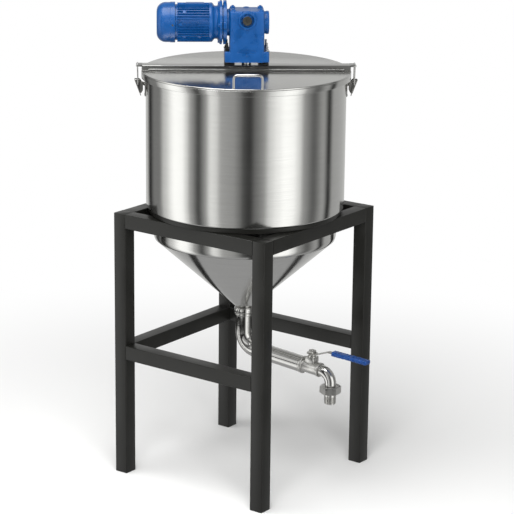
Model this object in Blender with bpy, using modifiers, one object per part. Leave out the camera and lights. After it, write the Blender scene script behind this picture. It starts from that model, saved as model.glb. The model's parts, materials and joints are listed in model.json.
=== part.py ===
# Mixing tank: jacketed stainless vessel with a cone bottom on a square stand,
# half lids under a bridge that carries a worm gearmotor, and a drain with a lever valve.
# Metres, +Z up, floor at z = 0. The outlet leaves toward -Y.
# The origin is the middle of the footprint that the whole object covers, on the floor.

import math

import bmesh
import bpy
from mathutils import Matrix, Vector

ORIGIN = (0.0, 0.0, 0.0)
GAP = 0.0003  # between solids that touch
TURNS = 64  # facets round a large cylinder
SMALL_TURNS = 32
PIN_TURNS = 16

# Stand of square tube
STAND_SIDE = 0.640
STAND_HEIGHT = 0.940
TUBE = 0.050
RAIL_TOP = 0.470
TUBE_ROUND = 0.003

# Vessel, jacket and rim, as outer radii and heights
VESSEL_RADIUS = 0.315
JACKET_RADIUS = 0.340
RIM_RADIUS = 0.355
SHEET = 0.003
JACKET_FLOOR = 0.957
RIM_BOTTOM = 1.403
RIM_TOP = 1.4227
RIM_ROUND = 0.003
RIM_LIP_ROUND = 0.002
CONE_TOP = 0.847
CONE_SLOPE = 1.11  # radius lost for each metre of drop
KNUCKLE = 0.016
KNUCKLE_SWEEP = math.radians(70.0)
KNUCKLE_STEPS = 4
KNUCKLE_PULL = 0.3  # the wall's lower edge turns in by this share of the knuckle
SUPPORT_RADIUS = 0.332
COPE_RADIUS = VESSEL_RADIUS + 0.001

# Lid halves and their handles
LID_THICK = 0.005
LID_BOTTOM = RIM_TOP + GAP
LID_TOP = LID_BOTTOM + LID_THICK
LID_EDGE = 0.0265  # from the bridge's middle to a lid's straight edge
LID_ROUND = 0.0015
LID_STEPS = 36
HANDLE_WIDTH = 0.093
HANDLE_HEIGHT = 0.044
HANDLE_ROD = 0.004
HANDLE_BEND = 0.012
HANDLE_OUT = 0.343
HANDLE_SHIFT = 0.0065  # along the lid, away from its middle

# Bridge across the rim, turned against the stand
BRIDGE_TURN = math.radians(-51.0)
BRIDGE_HALF = 0.353
BRIDGE_DEPTH = 0.050
BRIDGE_BOTTOM = RIM_TOP + GAP
BRIDGE_TOP = 1.445
TONGUE_REACH = 0.372
TONGUE_WIDTH = 0.028
TONGUE_THICK = 0.004
TONGUE_ROUND = 0.001
HINGE_OUT = 0.0285
HINGE_HEIGHT = 1.4318
HINGE_ROD = 0.0034
HINGE_LENGTH = 0.660
HINGE_SINK = 0.0005

# Worm gearbox and motor
GEARBOX_BOTTOM = 1.460
GEARBOX_TOP = 1.632
GEARBOX_WIDTH = 0.116
GEARBOX_DEPTH = 0.104
BASE_WIDTH = 0.150
BASE_HEIGHT = 0.037
BASE_STEP = 0.0005
FOOT_IN = 0.040
FOOT_OUT = 0.075
FOOT_INSET = 0.001
NECK_RADIUS = 0.045
SOCKET_DEPTH = 0.015
COLLAR_PLAY = 0.0005
WORM_HEIGHT = 1.588
BOSS_HEIGHT = 1.602
BOSS_RADIUS = 0.030
BOSS_OUT = 0.006
PLUG_RADIUS = 0.0155
PLUG_THICK = 0.004
COVER_RADIUS = 0.039
COVER_THICK = 0.017
COVER_EDGE = 0.003
FLANGE_RADIUS = 0.0735
FLANGE_NEAR = 0.067
FLANGE_LIP = 0.090  # from here the flange narrows toward the motor
FLANGE_FAR = 0.099
FLANGE_THROAT = 0.058
FLANGE_ROUND = 0.002
MOTOR_RADIUS = 0.068
FIN_STEP = 0.002  # the motor's body lies this much inside its fan cover
MOTOR_WAIST = 0.056
BELL_START = 0.107
BELL_END = 0.123
MOTOR_END = 0.240
FAN_COVER_END = 0.3025
COVER_ROUND = 0.030
TERMINAL_BOX = (0.080, 0.044, 0.080)
TERMINAL_OUT = 0.184
TERMINAL_RISE = 0.019
TERMINAL_ROUND = 0.004

# Mixer in the tank
SHAFT_RADIUS = 0.014
SHAFT_BOTTOM = 0.720
SHAFT_ENTRY = 0.012  # into the gearbox
COLLAR_RADIUS = 0.016
PADDLE_REACH = 0.150
PADDLE_HEIGHT = 0.036
PADDLE_THICK = 0.005
PADDLE_BOTTOM = 0.735
HUB_RADIUS = 0.024
HUB_EXTRA = 0.010

# Drain, with a fall of 4 degrees toward the outlet
DRAIN_PITCH = math.radians(4.0)
DRAIN_RADIUS = 0.0285
DRAIN_CORNER = 0.448
DRAIN_BEND = 0.056
COLLAR_TOP = 0.590
COLLAR_BOTTOM = 0.561
COLLAR_BORE = 0.0255
SLEEVE_RADIUS = 0.032
CLAMP_RADIUS = 0.034
CLAMP_HEIGHT = 0.020
CLAMP_EDGE = (0.004, 0.003)
CLAMP_GROOVE = 0.002
VALVE_OUT = 0.2900
VALVE_HALF = 0.0400
VALVE_RADIUS = 0.023
VALVE_RING = 0.030
VALVE_RING_LONG = 0.012
VALVE_LIP_LONG = 0.008
VALVE_STEP = 0.002
BONNET_PAD = (0.036, 0.036, 0.018)
BONNET_LIFT = 0.005
STEM_RADIUS = 0.010
OUTLET_OUT = 0.371
OUTLET_RADIUS = 0.0195
OUTLET_BEND = 0.038
NUT_ACROSS = 0.064
NUT_TURN = math.radians(37.0)
NUT_ROUND = 0.0015
NUT_TOP = 0.378
NUT_BOTTOM = 0.352
NIPPLE_RADIUS = 0.0202
NIPPLE_BOTTOM = 0.3135
NIPPLE_BORE = 0.0155
NIPPLE_EDGE = 0.002
NIPPLE_FLOOR = 0.005
PIPE_WALL = 0.003
LEVER_LIFT = 0.048  # above the pipe's middle
LEVER_RISE = 0.024
ARM_THICK = 0.003
ARM_WIDTH = 0.020
ARM_HEEL = 0.014
ARM_KNEE = 0.016
ARM_CREST = 0.067  # from the stem to where the arm's slope ends
GRIP_TILT = math.radians(2.1)  # the grip rises toward its tip
GRIP_START = 0.018  # from the crest
GRIP_LENGTH = 0.143
GRIP_WIDTH = 0.030
GRIP_THICK = 0.016
GRIP_ROUND = 0.005
GRIP_END = 0.012
STEM_NUT_RADIUS = 0.0145
STEM_NUT_HEIGHT = 0.010

# Latches at the bridge's ends
PIVOT_OUT = 0.366
PIVOT_HEIGHT = 1.386
BAIL_PIN_DROP = 0.009  # straight below the pivot, so that the bail only rises as the lever opens
BAIL_HALF = 0.018
BAIL_WIRE = 0.002
BAIL_LEAN = 0.0015
BAIL_INNER = 0.0095
BAIL_BEND = 0.0035
BAIL_PLAY = 0.0008  # over the bridge's tip
LEVER_HALF = 0.012
LEVER_CHANNEL = 0.018
LEVER_WEB = 0.002
LEVER_OUTLINE = (  # out from and above the pivot, round from the thumb edge to the foot
    (0.0125, 0.0085),
    (-0.006, 0.0085),
    (-0.017, -0.007),
    (-0.017, -0.029),
    (-0.011, -0.0385),
    (-0.005, -0.0385),
)
LATCH_PLATE = (0.003, 0.032, 0.050)
LATCH_PLATE_HEIGHT = 1.361
LATCH_ARM_WIDTH = 0.012
LATCH_ARM_TIP = 0.004
LATCH_ARM_ROOT = (-0.0045, -0.0155)  # its height at the wall plate, from the pivot
LATCH_ARM_SINK = 0.001
CHANNEL_DEPTH = 0.040
CHANNEL_LONG = 0.090
PIN_RADIUS = 0.0025
PIN_PLAY = 0.0005

# The lever's tip and the rim's back set the footprint, so the tank stands behind the origin
GRIP_PITCH = DRAIN_PITCH - GRIP_TILT
CREST_OUT = VALVE_OUT + ARM_CREST * math.cos(DRAIN_PITCH) + (LEVER_LIFT + LEVER_RISE) * math.sin(DRAIN_PITCH)
TIP_RISE = ARM_THICK / 2 + GRIP_THICK / 2 - GRIP_ROUND
TIP_OUT = CREST_OUT + (GRIP_START + GRIP_LENGTH) * math.cos(GRIP_PITCH) + TIP_RISE * math.sin(GRIP_PITCH)
AXIS_Y = (TIP_OUT - RIM_RADIUS) / 2


def clear_scene():
    for old in list(bpy.data.objects):
        bpy.data.objects.remove(old, do_unlink=True)


clear_scene()
parts = bpy.data.collections.new("mixing_tank")
cutters = bpy.data.collections.new("cutters")
bpy.context.scene.collection.children.link(parts)
bpy.context.scene.collection.children.link(cutters)
cutters.hide_render = True


def material(name, color, metallic, roughness):
    made = bpy.data.materials.new(name)
    made.use_nodes = True
    shader = made.node_tree.nodes["Principled BSDF"]
    shader.inputs["Base Color"].default_value = (*color, 1.0)
    shader.inputs["Metallic"].default_value = metallic
    shader.inputs["Roughness"].default_value = roughness
    made.diffuse_color = (*color, 1.0)
    return made


STEEL = material("brushed_steel", (0.62, 0.62, 0.60), 1.0, 0.28)
POLISHED = material("polished_steel", (0.70, 0.70, 0.69), 1.0, 0.16)
DARK_PAINT = material("dark_paint", (0.035, 0.035, 0.031), 0.0, 0.42)
BLUE_PAINT = material("blue_paint", (0.012, 0.098, 0.34), 0.0, 0.40)
BLUE_VINYL = material("blue_vinyl", (0.010, 0.060, 0.28), 0.0, 0.50)
BLACK_PLUG = material("black_plug", (0.025, 0.025, 0.022), 0.0, 0.50)


def empty(name, location, turn=ORIGIN, parent=None):
    made = bpy.data.objects.new(name, None)
    made.location = location
    made.rotation_euler = turn
    made.parent = parent
    parts.objects.link(made)
    return made


def add(name, data, finish, parent, location=ORIGIN, turn=ORIGIN, smooth=False):
    """Link a mesh or curve as one named piece."""
    made = bpy.data.objects.new(name, data)
    made.location = location
    made.rotation_euler = turn
    made.parent = parent
    data.materials.append(finish)
    if smooth:
        data.shade_smooth()
        data.set_sharp_from_angle(angle=math.radians(35.0))
    parts.objects.link(made)
    return made


def mesh_from(name, work):
    made = bpy.data.meshes.new(name)
    bmesh.ops.recalc_face_normals(work, faces=work.faces)
    work.to_mesh(made)
    work.free()
    return made


def box_mesh(name, size, middle=ORIGIN):
    work = bmesh.new()
    place = Matrix.Translation(middle) @ Matrix.Diagonal((*size, 1.0))
    bmesh.ops.create_cube(work, size=1.0, matrix=place)
    return mesh_from(name, work)


def rod_mesh(name, radius, length, middle, axis, turns=SMALL_TURNS):
    """A cylinder along one of the axes x, y or z."""
    spins = {"x": Matrix.Rotation(math.pi / 2, 4, "Y"), "y": Matrix.Rotation(math.pi / 2, 4, "X")}
    work = bmesh.new()
    place = Matrix.Translation(middle) @ spins.get(axis, Matrix.Identity(4))
    bmesh.ops.create_cone(
        work, cap_ends=True, segments=turns, radius1=radius, radius2=radius, depth=length, matrix=place
    )
    return mesh_from(name, work)


def bevel(piece, width, segments=2):
    made = piece.modifiers.new("rounded_edges", "BEVEL")
    made.width = width
    made.segments = segments
    made.limit_method = "ANGLE"
    return made


def cut(piece, cutter_mesh, operation="DIFFERENCE"):
    """Cut a helper mesh from the piece, or join it on, in the piece's own frame."""
    helper = bpy.data.objects.new(piece.name + "_helper", cutter_mesh)
    helper.display_type = "WIRE"
    helper.hide_render = True
    helper.parent = piece.parent
    helper.location = piece.location
    helper.rotation_euler = piece.rotation_euler
    cutters.objects.link(helper)
    made = piece.modifiers.new(operation.lower(), "BOOLEAN")
    made.operation = operation
    made.object = helper
    made.solver = "EXACT"


def turned(name, profile, finish, parent, location=ORIGIN, turn=ORIGIN, turns=TURNS, ring=True):
    """Spin a profile of (radius, height) points about Z. It runs down the outer side."""
    data = bpy.data.meshes.new(name)
    count = len(profile)
    edges = [(i, (i + 1) % count) for i in range(count if ring else count - 1)]
    data.from_pydata([(radius, 0.0, height) for radius, height in profile], edges, [])
    made = add(name, data, finish, parent, location, turn)
    spin = made.modifiers.new("spin", "SCREW")
    spin.steps = turns
    spin.render_steps = turns
    spin.use_merge_vertices = True
    spin.merge_threshold = 0.0001
    spin.use_smooth_shade = True
    return made


def tube(name, points, radius, finish, parent, sides=4):
    """A round rod along straight runs and arcs, given as points."""
    data = bpy.data.curves.new(name, "CURVE")
    data.dimensions = "3D"
    data.bevel_depth = radius
    data.bevel_resolution = sides
    data.use_fill_caps = True
    spline = data.splines.new("POLY")
    spline.points.add(len(points) - 1)
    for spot, point in zip(spline.points, points):
        spot.co = (*point, 1.0)
    made = bpy.data.objects.new(name, data)
    made.parent = parent
    data.materials.append(finish)
    parts.objects.link(made)
    return made


def rounded_path(corners, radius, steps=6):
    """Straight runs with an arc of this radius at each inner corner."""
    path = [Vector(corners[0])]
    for before, corner, after in zip(corners, corners[1:], corners[2:]):
        corner = Vector(corner)
        back = (Vector(before) - corner).normalized()
        ahead = (Vector(after) - corner).normalized()
        half = back.angle(ahead) / 2
        middle = corner + (back + ahead).normalized() * radius / math.sin(half)
        start = corner + back * radius / math.tan(half) - middle
        end = corner + ahead * radius / math.tan(half) - middle
        sweep = start.angle(end)
        axis = start.cross(end).normalized()
        for step in range(steps + 1):
            path.append(middle + Matrix.Rotation(sweep * step / steps, 3, axis) @ start)
    path.append(Vector(corners[-1]))
    return path


def plate(name, outline, thick, finish, parent, location=ORIGIN, turn=ORIGIN):
    """A flat outline in the piece's XY plane, extruded both ways along its Z."""
    data = bpy.data.curves.new(name, "CURVE")
    data.dimensions = "2D"
    data.fill_mode = "BOTH"
    data.extrude = thick / 2
    spline = data.splines.new("POLY")
    spline.points.add(len(outline) - 1)
    for spot, (x, y) in zip(spline.points, outline):
        spot.co = (x, y, 0.0, 1.0)
    spline.use_cyclic_u = True
    made = bpy.data.objects.new(name, data)
    made.location = location
    made.rotation_euler = turn
    made.parent = parent
    data.materials.append(finish)
    parts.objects.link(made)
    return made


def as_mesh(piece):
    """Swap a curve piece for a mesh of the same shape, in its parent's frame, with its caps welded."""
    graph = bpy.context.evaluated_depsgraph_get()
    data = bpy.data.meshes.new_from_object(piece.evaluated_get(graph))
    data.transform(piece.matrix_basis)
    work = bmesh.new()
    work.from_mesh(data)
    bmesh.ops.remove_doubles(work, verts=work.verts, dist=0.00001)
    bmesh.ops.recalc_face_normals(work, faces=work.faces)
    work.to_mesh(data)
    work.free()
    name, parent = piece.name, piece.parent
    bpy.data.objects.remove(piece, do_unlink=True)
    made = bpy.data.objects.new(name, data)
    made.parent = parent
    parts.objects.link(made)
    return made


# Frames that the pieces are placed in
tank_frame = empty("tank_frame", (0.0, AXIS_Y, 0.0))
bridge_frame = empty("bridge_frame", ORIGIN, (0.0, 0.0, BRIDGE_TURN), tank_frame)


def drain_height(out):
    """Height of the drain pipe's middle at this distance from the tank's axis."""
    return DRAIN_CORNER - out * math.tan(DRAIN_PITCH)


valve_frame = empty(
    "valve_frame", (0.0, -VALVE_OUT, drain_height(VALVE_OUT)), (DRAIN_PITCH, 0.0, 0.0), tank_frame
)


def build_stand():
    middle = (STAND_SIDE - TUBE) / 2
    span = STAND_SIDE - 2 * TUBE - 2 * GAP
    for side_x, word_x in ((-1, "left"), (1, "right")):
        for side_y, word_y in ((-1, "front"), (1, "back")):
            leg = add(
                f"leg_{word_y}_{word_x}",
                box_mesh("leg", (TUBE, TUBE, STAND_HEIGHT)),
                DARK_PAINT,
                tank_frame,
                (side_x * middle, side_y * middle, STAND_HEIGHT / 2),
            )
            bevel(leg, TUBE_ROUND)
    sides = {"front": (0, -1), "back": (0, 1), "left": (-1, 0), "right": (1, 0)}
    for word, (side_x, side_y) in sides.items():
        size = (TUBE, span, TUBE) if side_x else (span, TUBE, TUBE)
        place = (side_x * middle, side_y * middle)
        beam = add(
            f"top_beam_{word}",
            box_mesh("beam", size),
            DARK_PAINT,
            tank_frame,
            (*place, STAND_HEIGHT - TUBE / 2),
        )
        cope = rod_mesh("cope", COPE_RADIUS, 2 * TUBE, (-place[0], -place[1], 0.0), "z", TURNS)
        cut(beam, cope)
        if word != "front":
            rail = add(
                f"lower_rail_{word}",
                box_mesh("rail", size),
                DARK_PAINT,
                tank_frame,
                (*place, RAIL_TOP - TUBE / 2),
            )
            bevel(rail, TUBE_ROUND)


def cone_radius(height):
    return VESSEL_RADIUS - SHEET - (CONE_TOP - height) * CONE_SLOPE


def build_tank():
    inner = VESSEL_RADIUS - SHEET
    wall_bottom = CONE_TOP + GAP
    knuckle = []
    for step in range(KNUCKLE_STEPS + 1):
        angle = KNUCKLE_SWEEP * step / KNUCKLE_STEPS
        drop = KNUCKLE * math.sin(angle)
        pull = KNUCKLE * (1 - math.cos(angle))
        knuckle.append((pull, drop))
    start = wall_bottom + knuckle[-1][1]
    outer = [(VESSEL_RADIUS - pull * KNUCKLE_PULL, start - drop) for pull, drop in knuckle]
    inside = [(radius - SHEET, height) for radius, height in reversed(outer)]
    turned(
        "vessel_wall",
        [(VESSEL_RADIUS, RIM_TOP - SHEET - GAP)] + outer + inside + [(inner, RIM_TOP - SHEET - GAP)],
        STEEL,
        tank_frame,
    )
    tip = COLLAR_TOP + GAP
    turned(
        "vessel_cone",
        [
            (cone_radius(CONE_TOP), CONE_TOP),
            (cone_radius(tip), tip),
            (cone_radius(tip) - SHEET, tip),
            (cone_radius(CONE_TOP) - SHEET, CONE_TOP),
        ],
        STEEL,
        tank_frame,
    )
    turned(
        "jacket_wall",
        [
            (JACKET_RADIUS, RIM_BOTTOM - GAP),
            (JACKET_RADIUS, JACKET_FLOOR),
            (JACKET_RADIUS - SHEET, JACKET_FLOOR),
            (JACKET_RADIUS - SHEET, RIM_BOTTOM - GAP),
        ],
        STEEL,
        tank_frame,
    )
    turned(
        "jacket_floor",
        [
            (JACKET_RADIUS - SHEET - GAP, JACKET_FLOOR + SHEET),
            (JACKET_RADIUS - SHEET - GAP, JACKET_FLOOR),
            (VESSEL_RADIUS + GAP, JACKET_FLOOR),
            (VESSEL_RADIUS + GAP, JACKET_FLOOR + SHEET),
        ],
        STEEL,
        tank_frame,
    )
    turned(
        "support_ring",
        [
            (SUPPORT_RADIUS, JACKET_FLOOR - GAP),
            (SUPPORT_RADIUS, STAND_HEIGHT + GAP),
            (VESSEL_RADIUS + GAP, STAND_HEIGHT + GAP),
            (VESSEL_RADIUS + GAP, JACKET_FLOOR - GAP),
        ],
        DARK_PAINT,
        tank_frame,
    )
    rim_in = JACKET_RADIUS - SHEET
    turned(
        "rim_band",
        [
            (RIM_RADIUS - RIM_ROUND, RIM_TOP),
            (RIM_RADIUS, RIM_TOP - RIM_ROUND),
            (RIM_RADIUS, RIM_BOTTOM + RIM_LIP_ROUND),
            (RIM_RADIUS - RIM_LIP_ROUND, RIM_BOTTOM),
            (rim_in, RIM_BOTTOM),
            (rim_in, RIM_TOP - SHEET),
            (inner, RIM_TOP - SHEET),
            (inner, RIM_TOP),
        ],
        STEEL,
        tank_frame,
    )


def build_lids():
    for side, word in ((-1, "front"), (1, "back")):
        hinge = empty(f"{word}_lid_hinge", (0.0, side * HINGE_OUT, HINGE_HEIGHT), parent=bridge_frame)
        start = math.asin(LID_EDGE / RIM_RADIUS)
        outline = []
        for step in range(LID_STEPS + 1):
            angle = start + (math.pi - 2 * start) * step / LID_STEPS
            out = RIM_RADIUS * math.sin(angle) - HINGE_OUT
            outline.append((RIM_RADIUS * math.cos(angle), side * out))
        lid = plate(
            f"{word}_lid",
            outline,
            LID_THICK,
            STEEL,
            hinge,
            (0.0, 0.0, LID_BOTTOM + LID_THICK / 2 - HINGE_HEIGHT),
        )
        lid = as_mesh(lid)
        bevel(lid, LID_ROUND)
        shift = side * HANDLE_SHIFT
        ends = (shift - HANDLE_WIDTH / 2, shift + HANDLE_WIDTH / 2)
        foot = LID_TOP + GAP - HINGE_HEIGHT
        top = LID_TOP + HANDLE_HEIGHT - HINGE_HEIGHT
        out = side * (HANDLE_OUT - HINGE_OUT)
        corners = ((ends[0], out, foot), (ends[0], out, top), (ends[1], out, top), (ends[1], out, foot))
        path = rounded_path(corners, HANDLE_BEND)
        tube(f"{word}_handle", path, HANDLE_ROD, POLISHED, hinge, sides=3)


def build_bridge():
    height = BRIDGE_TOP - BRIDGE_BOTTOM
    beam = add(
        "bridge_beam",
        box_mesh(
            "beam",
            (2 * BRIDGE_HALF, BRIDGE_DEPTH, height),
            (0.0, 0.0, BRIDGE_BOTTOM + height / 2),
        ),
        STEEL,
        bridge_frame,
    )
    for side in (-1, 1):
        middle = (0.0, side * (HINGE_OUT - HINGE_SINK), HINGE_HEIGHT)
        bead = rod_mesh("bead", HINGE_ROD, HINGE_LENGTH, middle, "x", PIN_TURNS)
        cut(beam, bead, "UNION")
    cut(beam, rod_mesh("bore", COLLAR_RADIUS + 2 * COLLAR_PLAY, 4 * height, (0.0, 0.0, BRIDGE_TOP), "z"))
    length = TONGUE_REACH - BRIDGE_HALF - GAP
    for side, word in ((-1, "left"), (1, "right")):
        middle = (side * (TONGUE_REACH - length / 2), 0.0, BRIDGE_TOP - TONGUE_THICK / 2)
        data = box_mesh("tip", (length, TONGUE_WIDTH, TONGUE_THICK), middle)
        tip = add(f"bridge_tip_{word}", data, STEEL, bridge_frame)
        bevel(tip, TONGUE_ROUND)


def build_gearbox():
    body_height = GEARBOX_TOP - GEARBOX_BOTTOM
    housing = add(
        "gearbox_housing",
        box_mesh(
            "housing",
            (GEARBOX_WIDTH, GEARBOX_DEPTH, body_height),
            (0.0, 0.0, GEARBOX_BOTTOM + body_height / 2),
        ),
        BLUE_PAINT,
        bridge_frame,
    )
    base = box_mesh(
        "base",
        (BASE_WIDTH, GEARBOX_DEPTH - 2 * BASE_STEP, BASE_HEIGHT),
        (0.0, 0.0, GEARBOX_BOTTOM + BASE_HEIGHT / 2 - BASE_STEP),
    )
    cut(housing, base, "UNION")
    boss = rod_mesh("boss", BOSS_RADIUS, GEARBOX_DEPTH + 2 * BOSS_OUT, (0.0, 0.0, BOSS_HEIGHT), "y")
    cut(housing, boss, "UNION")
    neck_long = FLANGE_NEAR - GAP
    neck = rod_mesh("neck", NECK_RADIUS, neck_long, (-neck_long / 2, 0.0, WORM_HEIGHT), "x")
    cut(housing, neck, "UNION")
    socket_radius = COLLAR_RADIUS + COLLAR_PLAY
    socket = rod_mesh("socket", socket_radius, 2 * SOCKET_DEPTH, (0.0, 0.0, GEARBOX_BOTTOM), "z")
    cut(housing, socket)
    foot_top = GEARBOX_BOTTOM - BASE_STEP
    foot_size = (FOOT_OUT - FOOT_IN, BRIDGE_DEPTH - 2 * FOOT_INSET, foot_top - BRIDGE_TOP - 2 * GAP)
    for side in (-1, 1):
        word = "left" if side < 0 else "right"
        middle = side * (FOOT_IN + FOOT_OUT) / 2
        add(
            f"gearbox_foot_{word}",
            box_mesh("foot", foot_size, (middle, 0.0, (foot_top + BRIDGE_TOP) / 2)),
            DARK_PAINT,
            bridge_frame,
        )
    add(
        "oil_plug",
        rod_mesh(
            "plug",
            PLUG_RADIUS,
            PLUG_THICK,
            (0.0, -GEARBOX_DEPTH / 2 - BOSS_OUT - GAP - PLUG_THICK / 2, BOSS_HEIGHT),
            "y",
            24,
        ),
        BLACK_PLUG,
        bridge_frame,
        smooth=True,
    )
    turned(
        "worm_cover",
        [
            (0.0, COVER_THICK),
            (COVER_RADIUS - COVER_EDGE, COVER_THICK),
            (COVER_RADIUS, COVER_THICK - COVER_EDGE),
            (COVER_RADIUS, GAP),
            (0.0, GAP),
        ],
        BLUE_PAINT,
        bridge_frame,
        (GEARBOX_WIDTH / 2, 0.0, WORM_HEIGHT),
        (0.0, math.pi / 2, 0.0),
        SMALL_TURNS,
        ring=False,
    )


def build_motor():
    aim = (0.0, -math.pi / 2, 0.0)  # turned pieces run along -X, away from the gearbox
    place = (0.0, 0.0, WORM_HEIGHT)
    turned(
        "input_flange",
        [
            (0.0, FLANGE_FAR),
            (FLANGE_THROAT, FLANGE_FAR),
            (FLANGE_RADIUS, FLANGE_LIP),
            (FLANGE_RADIUS, FLANGE_NEAR + GAP + FLANGE_ROUND),
            (FLANGE_RADIUS - FLANGE_ROUND, FLANGE_NEAR + GAP),
            (0.0, FLANGE_NEAR + GAP),
        ],
        BLUE_PAINT,
        bridge_frame,
        place,
        aim,
        48,
        ring=False,
    )
    turned(
        "motor_body",
        [
            (0.0, MOTOR_END),
            (MOTOR_RADIUS - FIN_STEP, MOTOR_END),
            (MOTOR_RADIUS - FIN_STEP, BELL_END),
            (MOTOR_WAIST, BELL_START),
            (MOTOR_WAIST, FLANGE_FAR + GAP),
            (0.0, FLANGE_FAR + GAP),
        ],
        BLUE_PAINT,
        bridge_frame,
        place,
        aim,
        48,
        ring=False,
    )
    curve = []
    for step in range(7):
        angle = math.radians(90.0) * step / 6
        pull = COVER_ROUND * (1 - math.sin(angle))
        curve.append((MOTOR_RADIUS - pull, FAN_COVER_END - COVER_ROUND * (1 - math.cos(angle))))
    turned(
        "fan_cover",
        [(0.0, FAN_COVER_END)] + curve + [(MOTOR_RADIUS, MOTOR_END + GAP), (0.0, MOTOR_END + GAP)],
        BLUE_PAINT,
        bridge_frame,
        place,
        aim,
        48,
        ring=False,
    )
    box = add(
        "terminal_box",
        box_mesh("terminal", TERMINAL_BOX, (-TERMINAL_OUT, MOTOR_RADIUS + TERMINAL_RISE, WORM_HEIGHT)),
        BLUE_PAINT,
        bridge_frame,
    )
    seat_place = (-TERMINAL_OUT, 0.0, WORM_HEIGHT)
    cut(box, rod_mesh("seat", MOTOR_RADIUS - FIN_STEP + GAP, 2 * TERMINAL_BOX[0], seat_place, "x", 48))
    bevel(box, TERMINAL_ROUND)


def build_mixer():
    turned(
        "mixing_shaft",
        [
            (0.0, GEARBOX_BOTTOM + SHAFT_ENTRY),
            (COLLAR_RADIUS, GEARBOX_BOTTOM + SHAFT_ENTRY),
            (COLLAR_RADIUS, BRIDGE_BOTTOM + COLLAR_RADIUS - SHAFT_RADIUS),
            (SHAFT_RADIUS, BRIDGE_BOTTOM),
            (SHAFT_RADIUS, SHAFT_BOTTOM),
            (0.0, SHAFT_BOTTOM),
        ],
        POLISHED,
        bridge_frame,
        turns=24,
        ring=False,
    )
    hub_middle = (0.0, 0.0, PADDLE_BOTTOM + PADDLE_HEIGHT / 2)
    hub = rod_mesh("hub", HUB_RADIUS, PADDLE_HEIGHT + HUB_EXTRA, hub_middle, "z", 24)
    blade = add("mixing_paddle", hub, POLISHED, bridge_frame)
    for side in (-1, 1):
        paddle = bmesh.new()
        tilt = Matrix.Rotation(side * math.radians(45.0), 4, "X")
        place = Matrix.Translation((side * (PADDLE_REACH + SHAFT_RADIUS) / 2, 0.0, hub_middle[2]))
        size = Matrix.Diagonal((PADDLE_REACH - SHAFT_RADIUS, PADDLE_THICK, PADDLE_HEIGHT, 1.0))
        bmesh.ops.create_cube(paddle, size=1.0, matrix=place @ tilt @ size)
        cut(blade, mesh_from("blade", paddle), "UNION")
    cut(blade, rod_mesh("bore", SHAFT_RADIUS + GAP, 0.2, (0.0, 0.0, PADDLE_BOTTOM), "z", 24))


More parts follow.
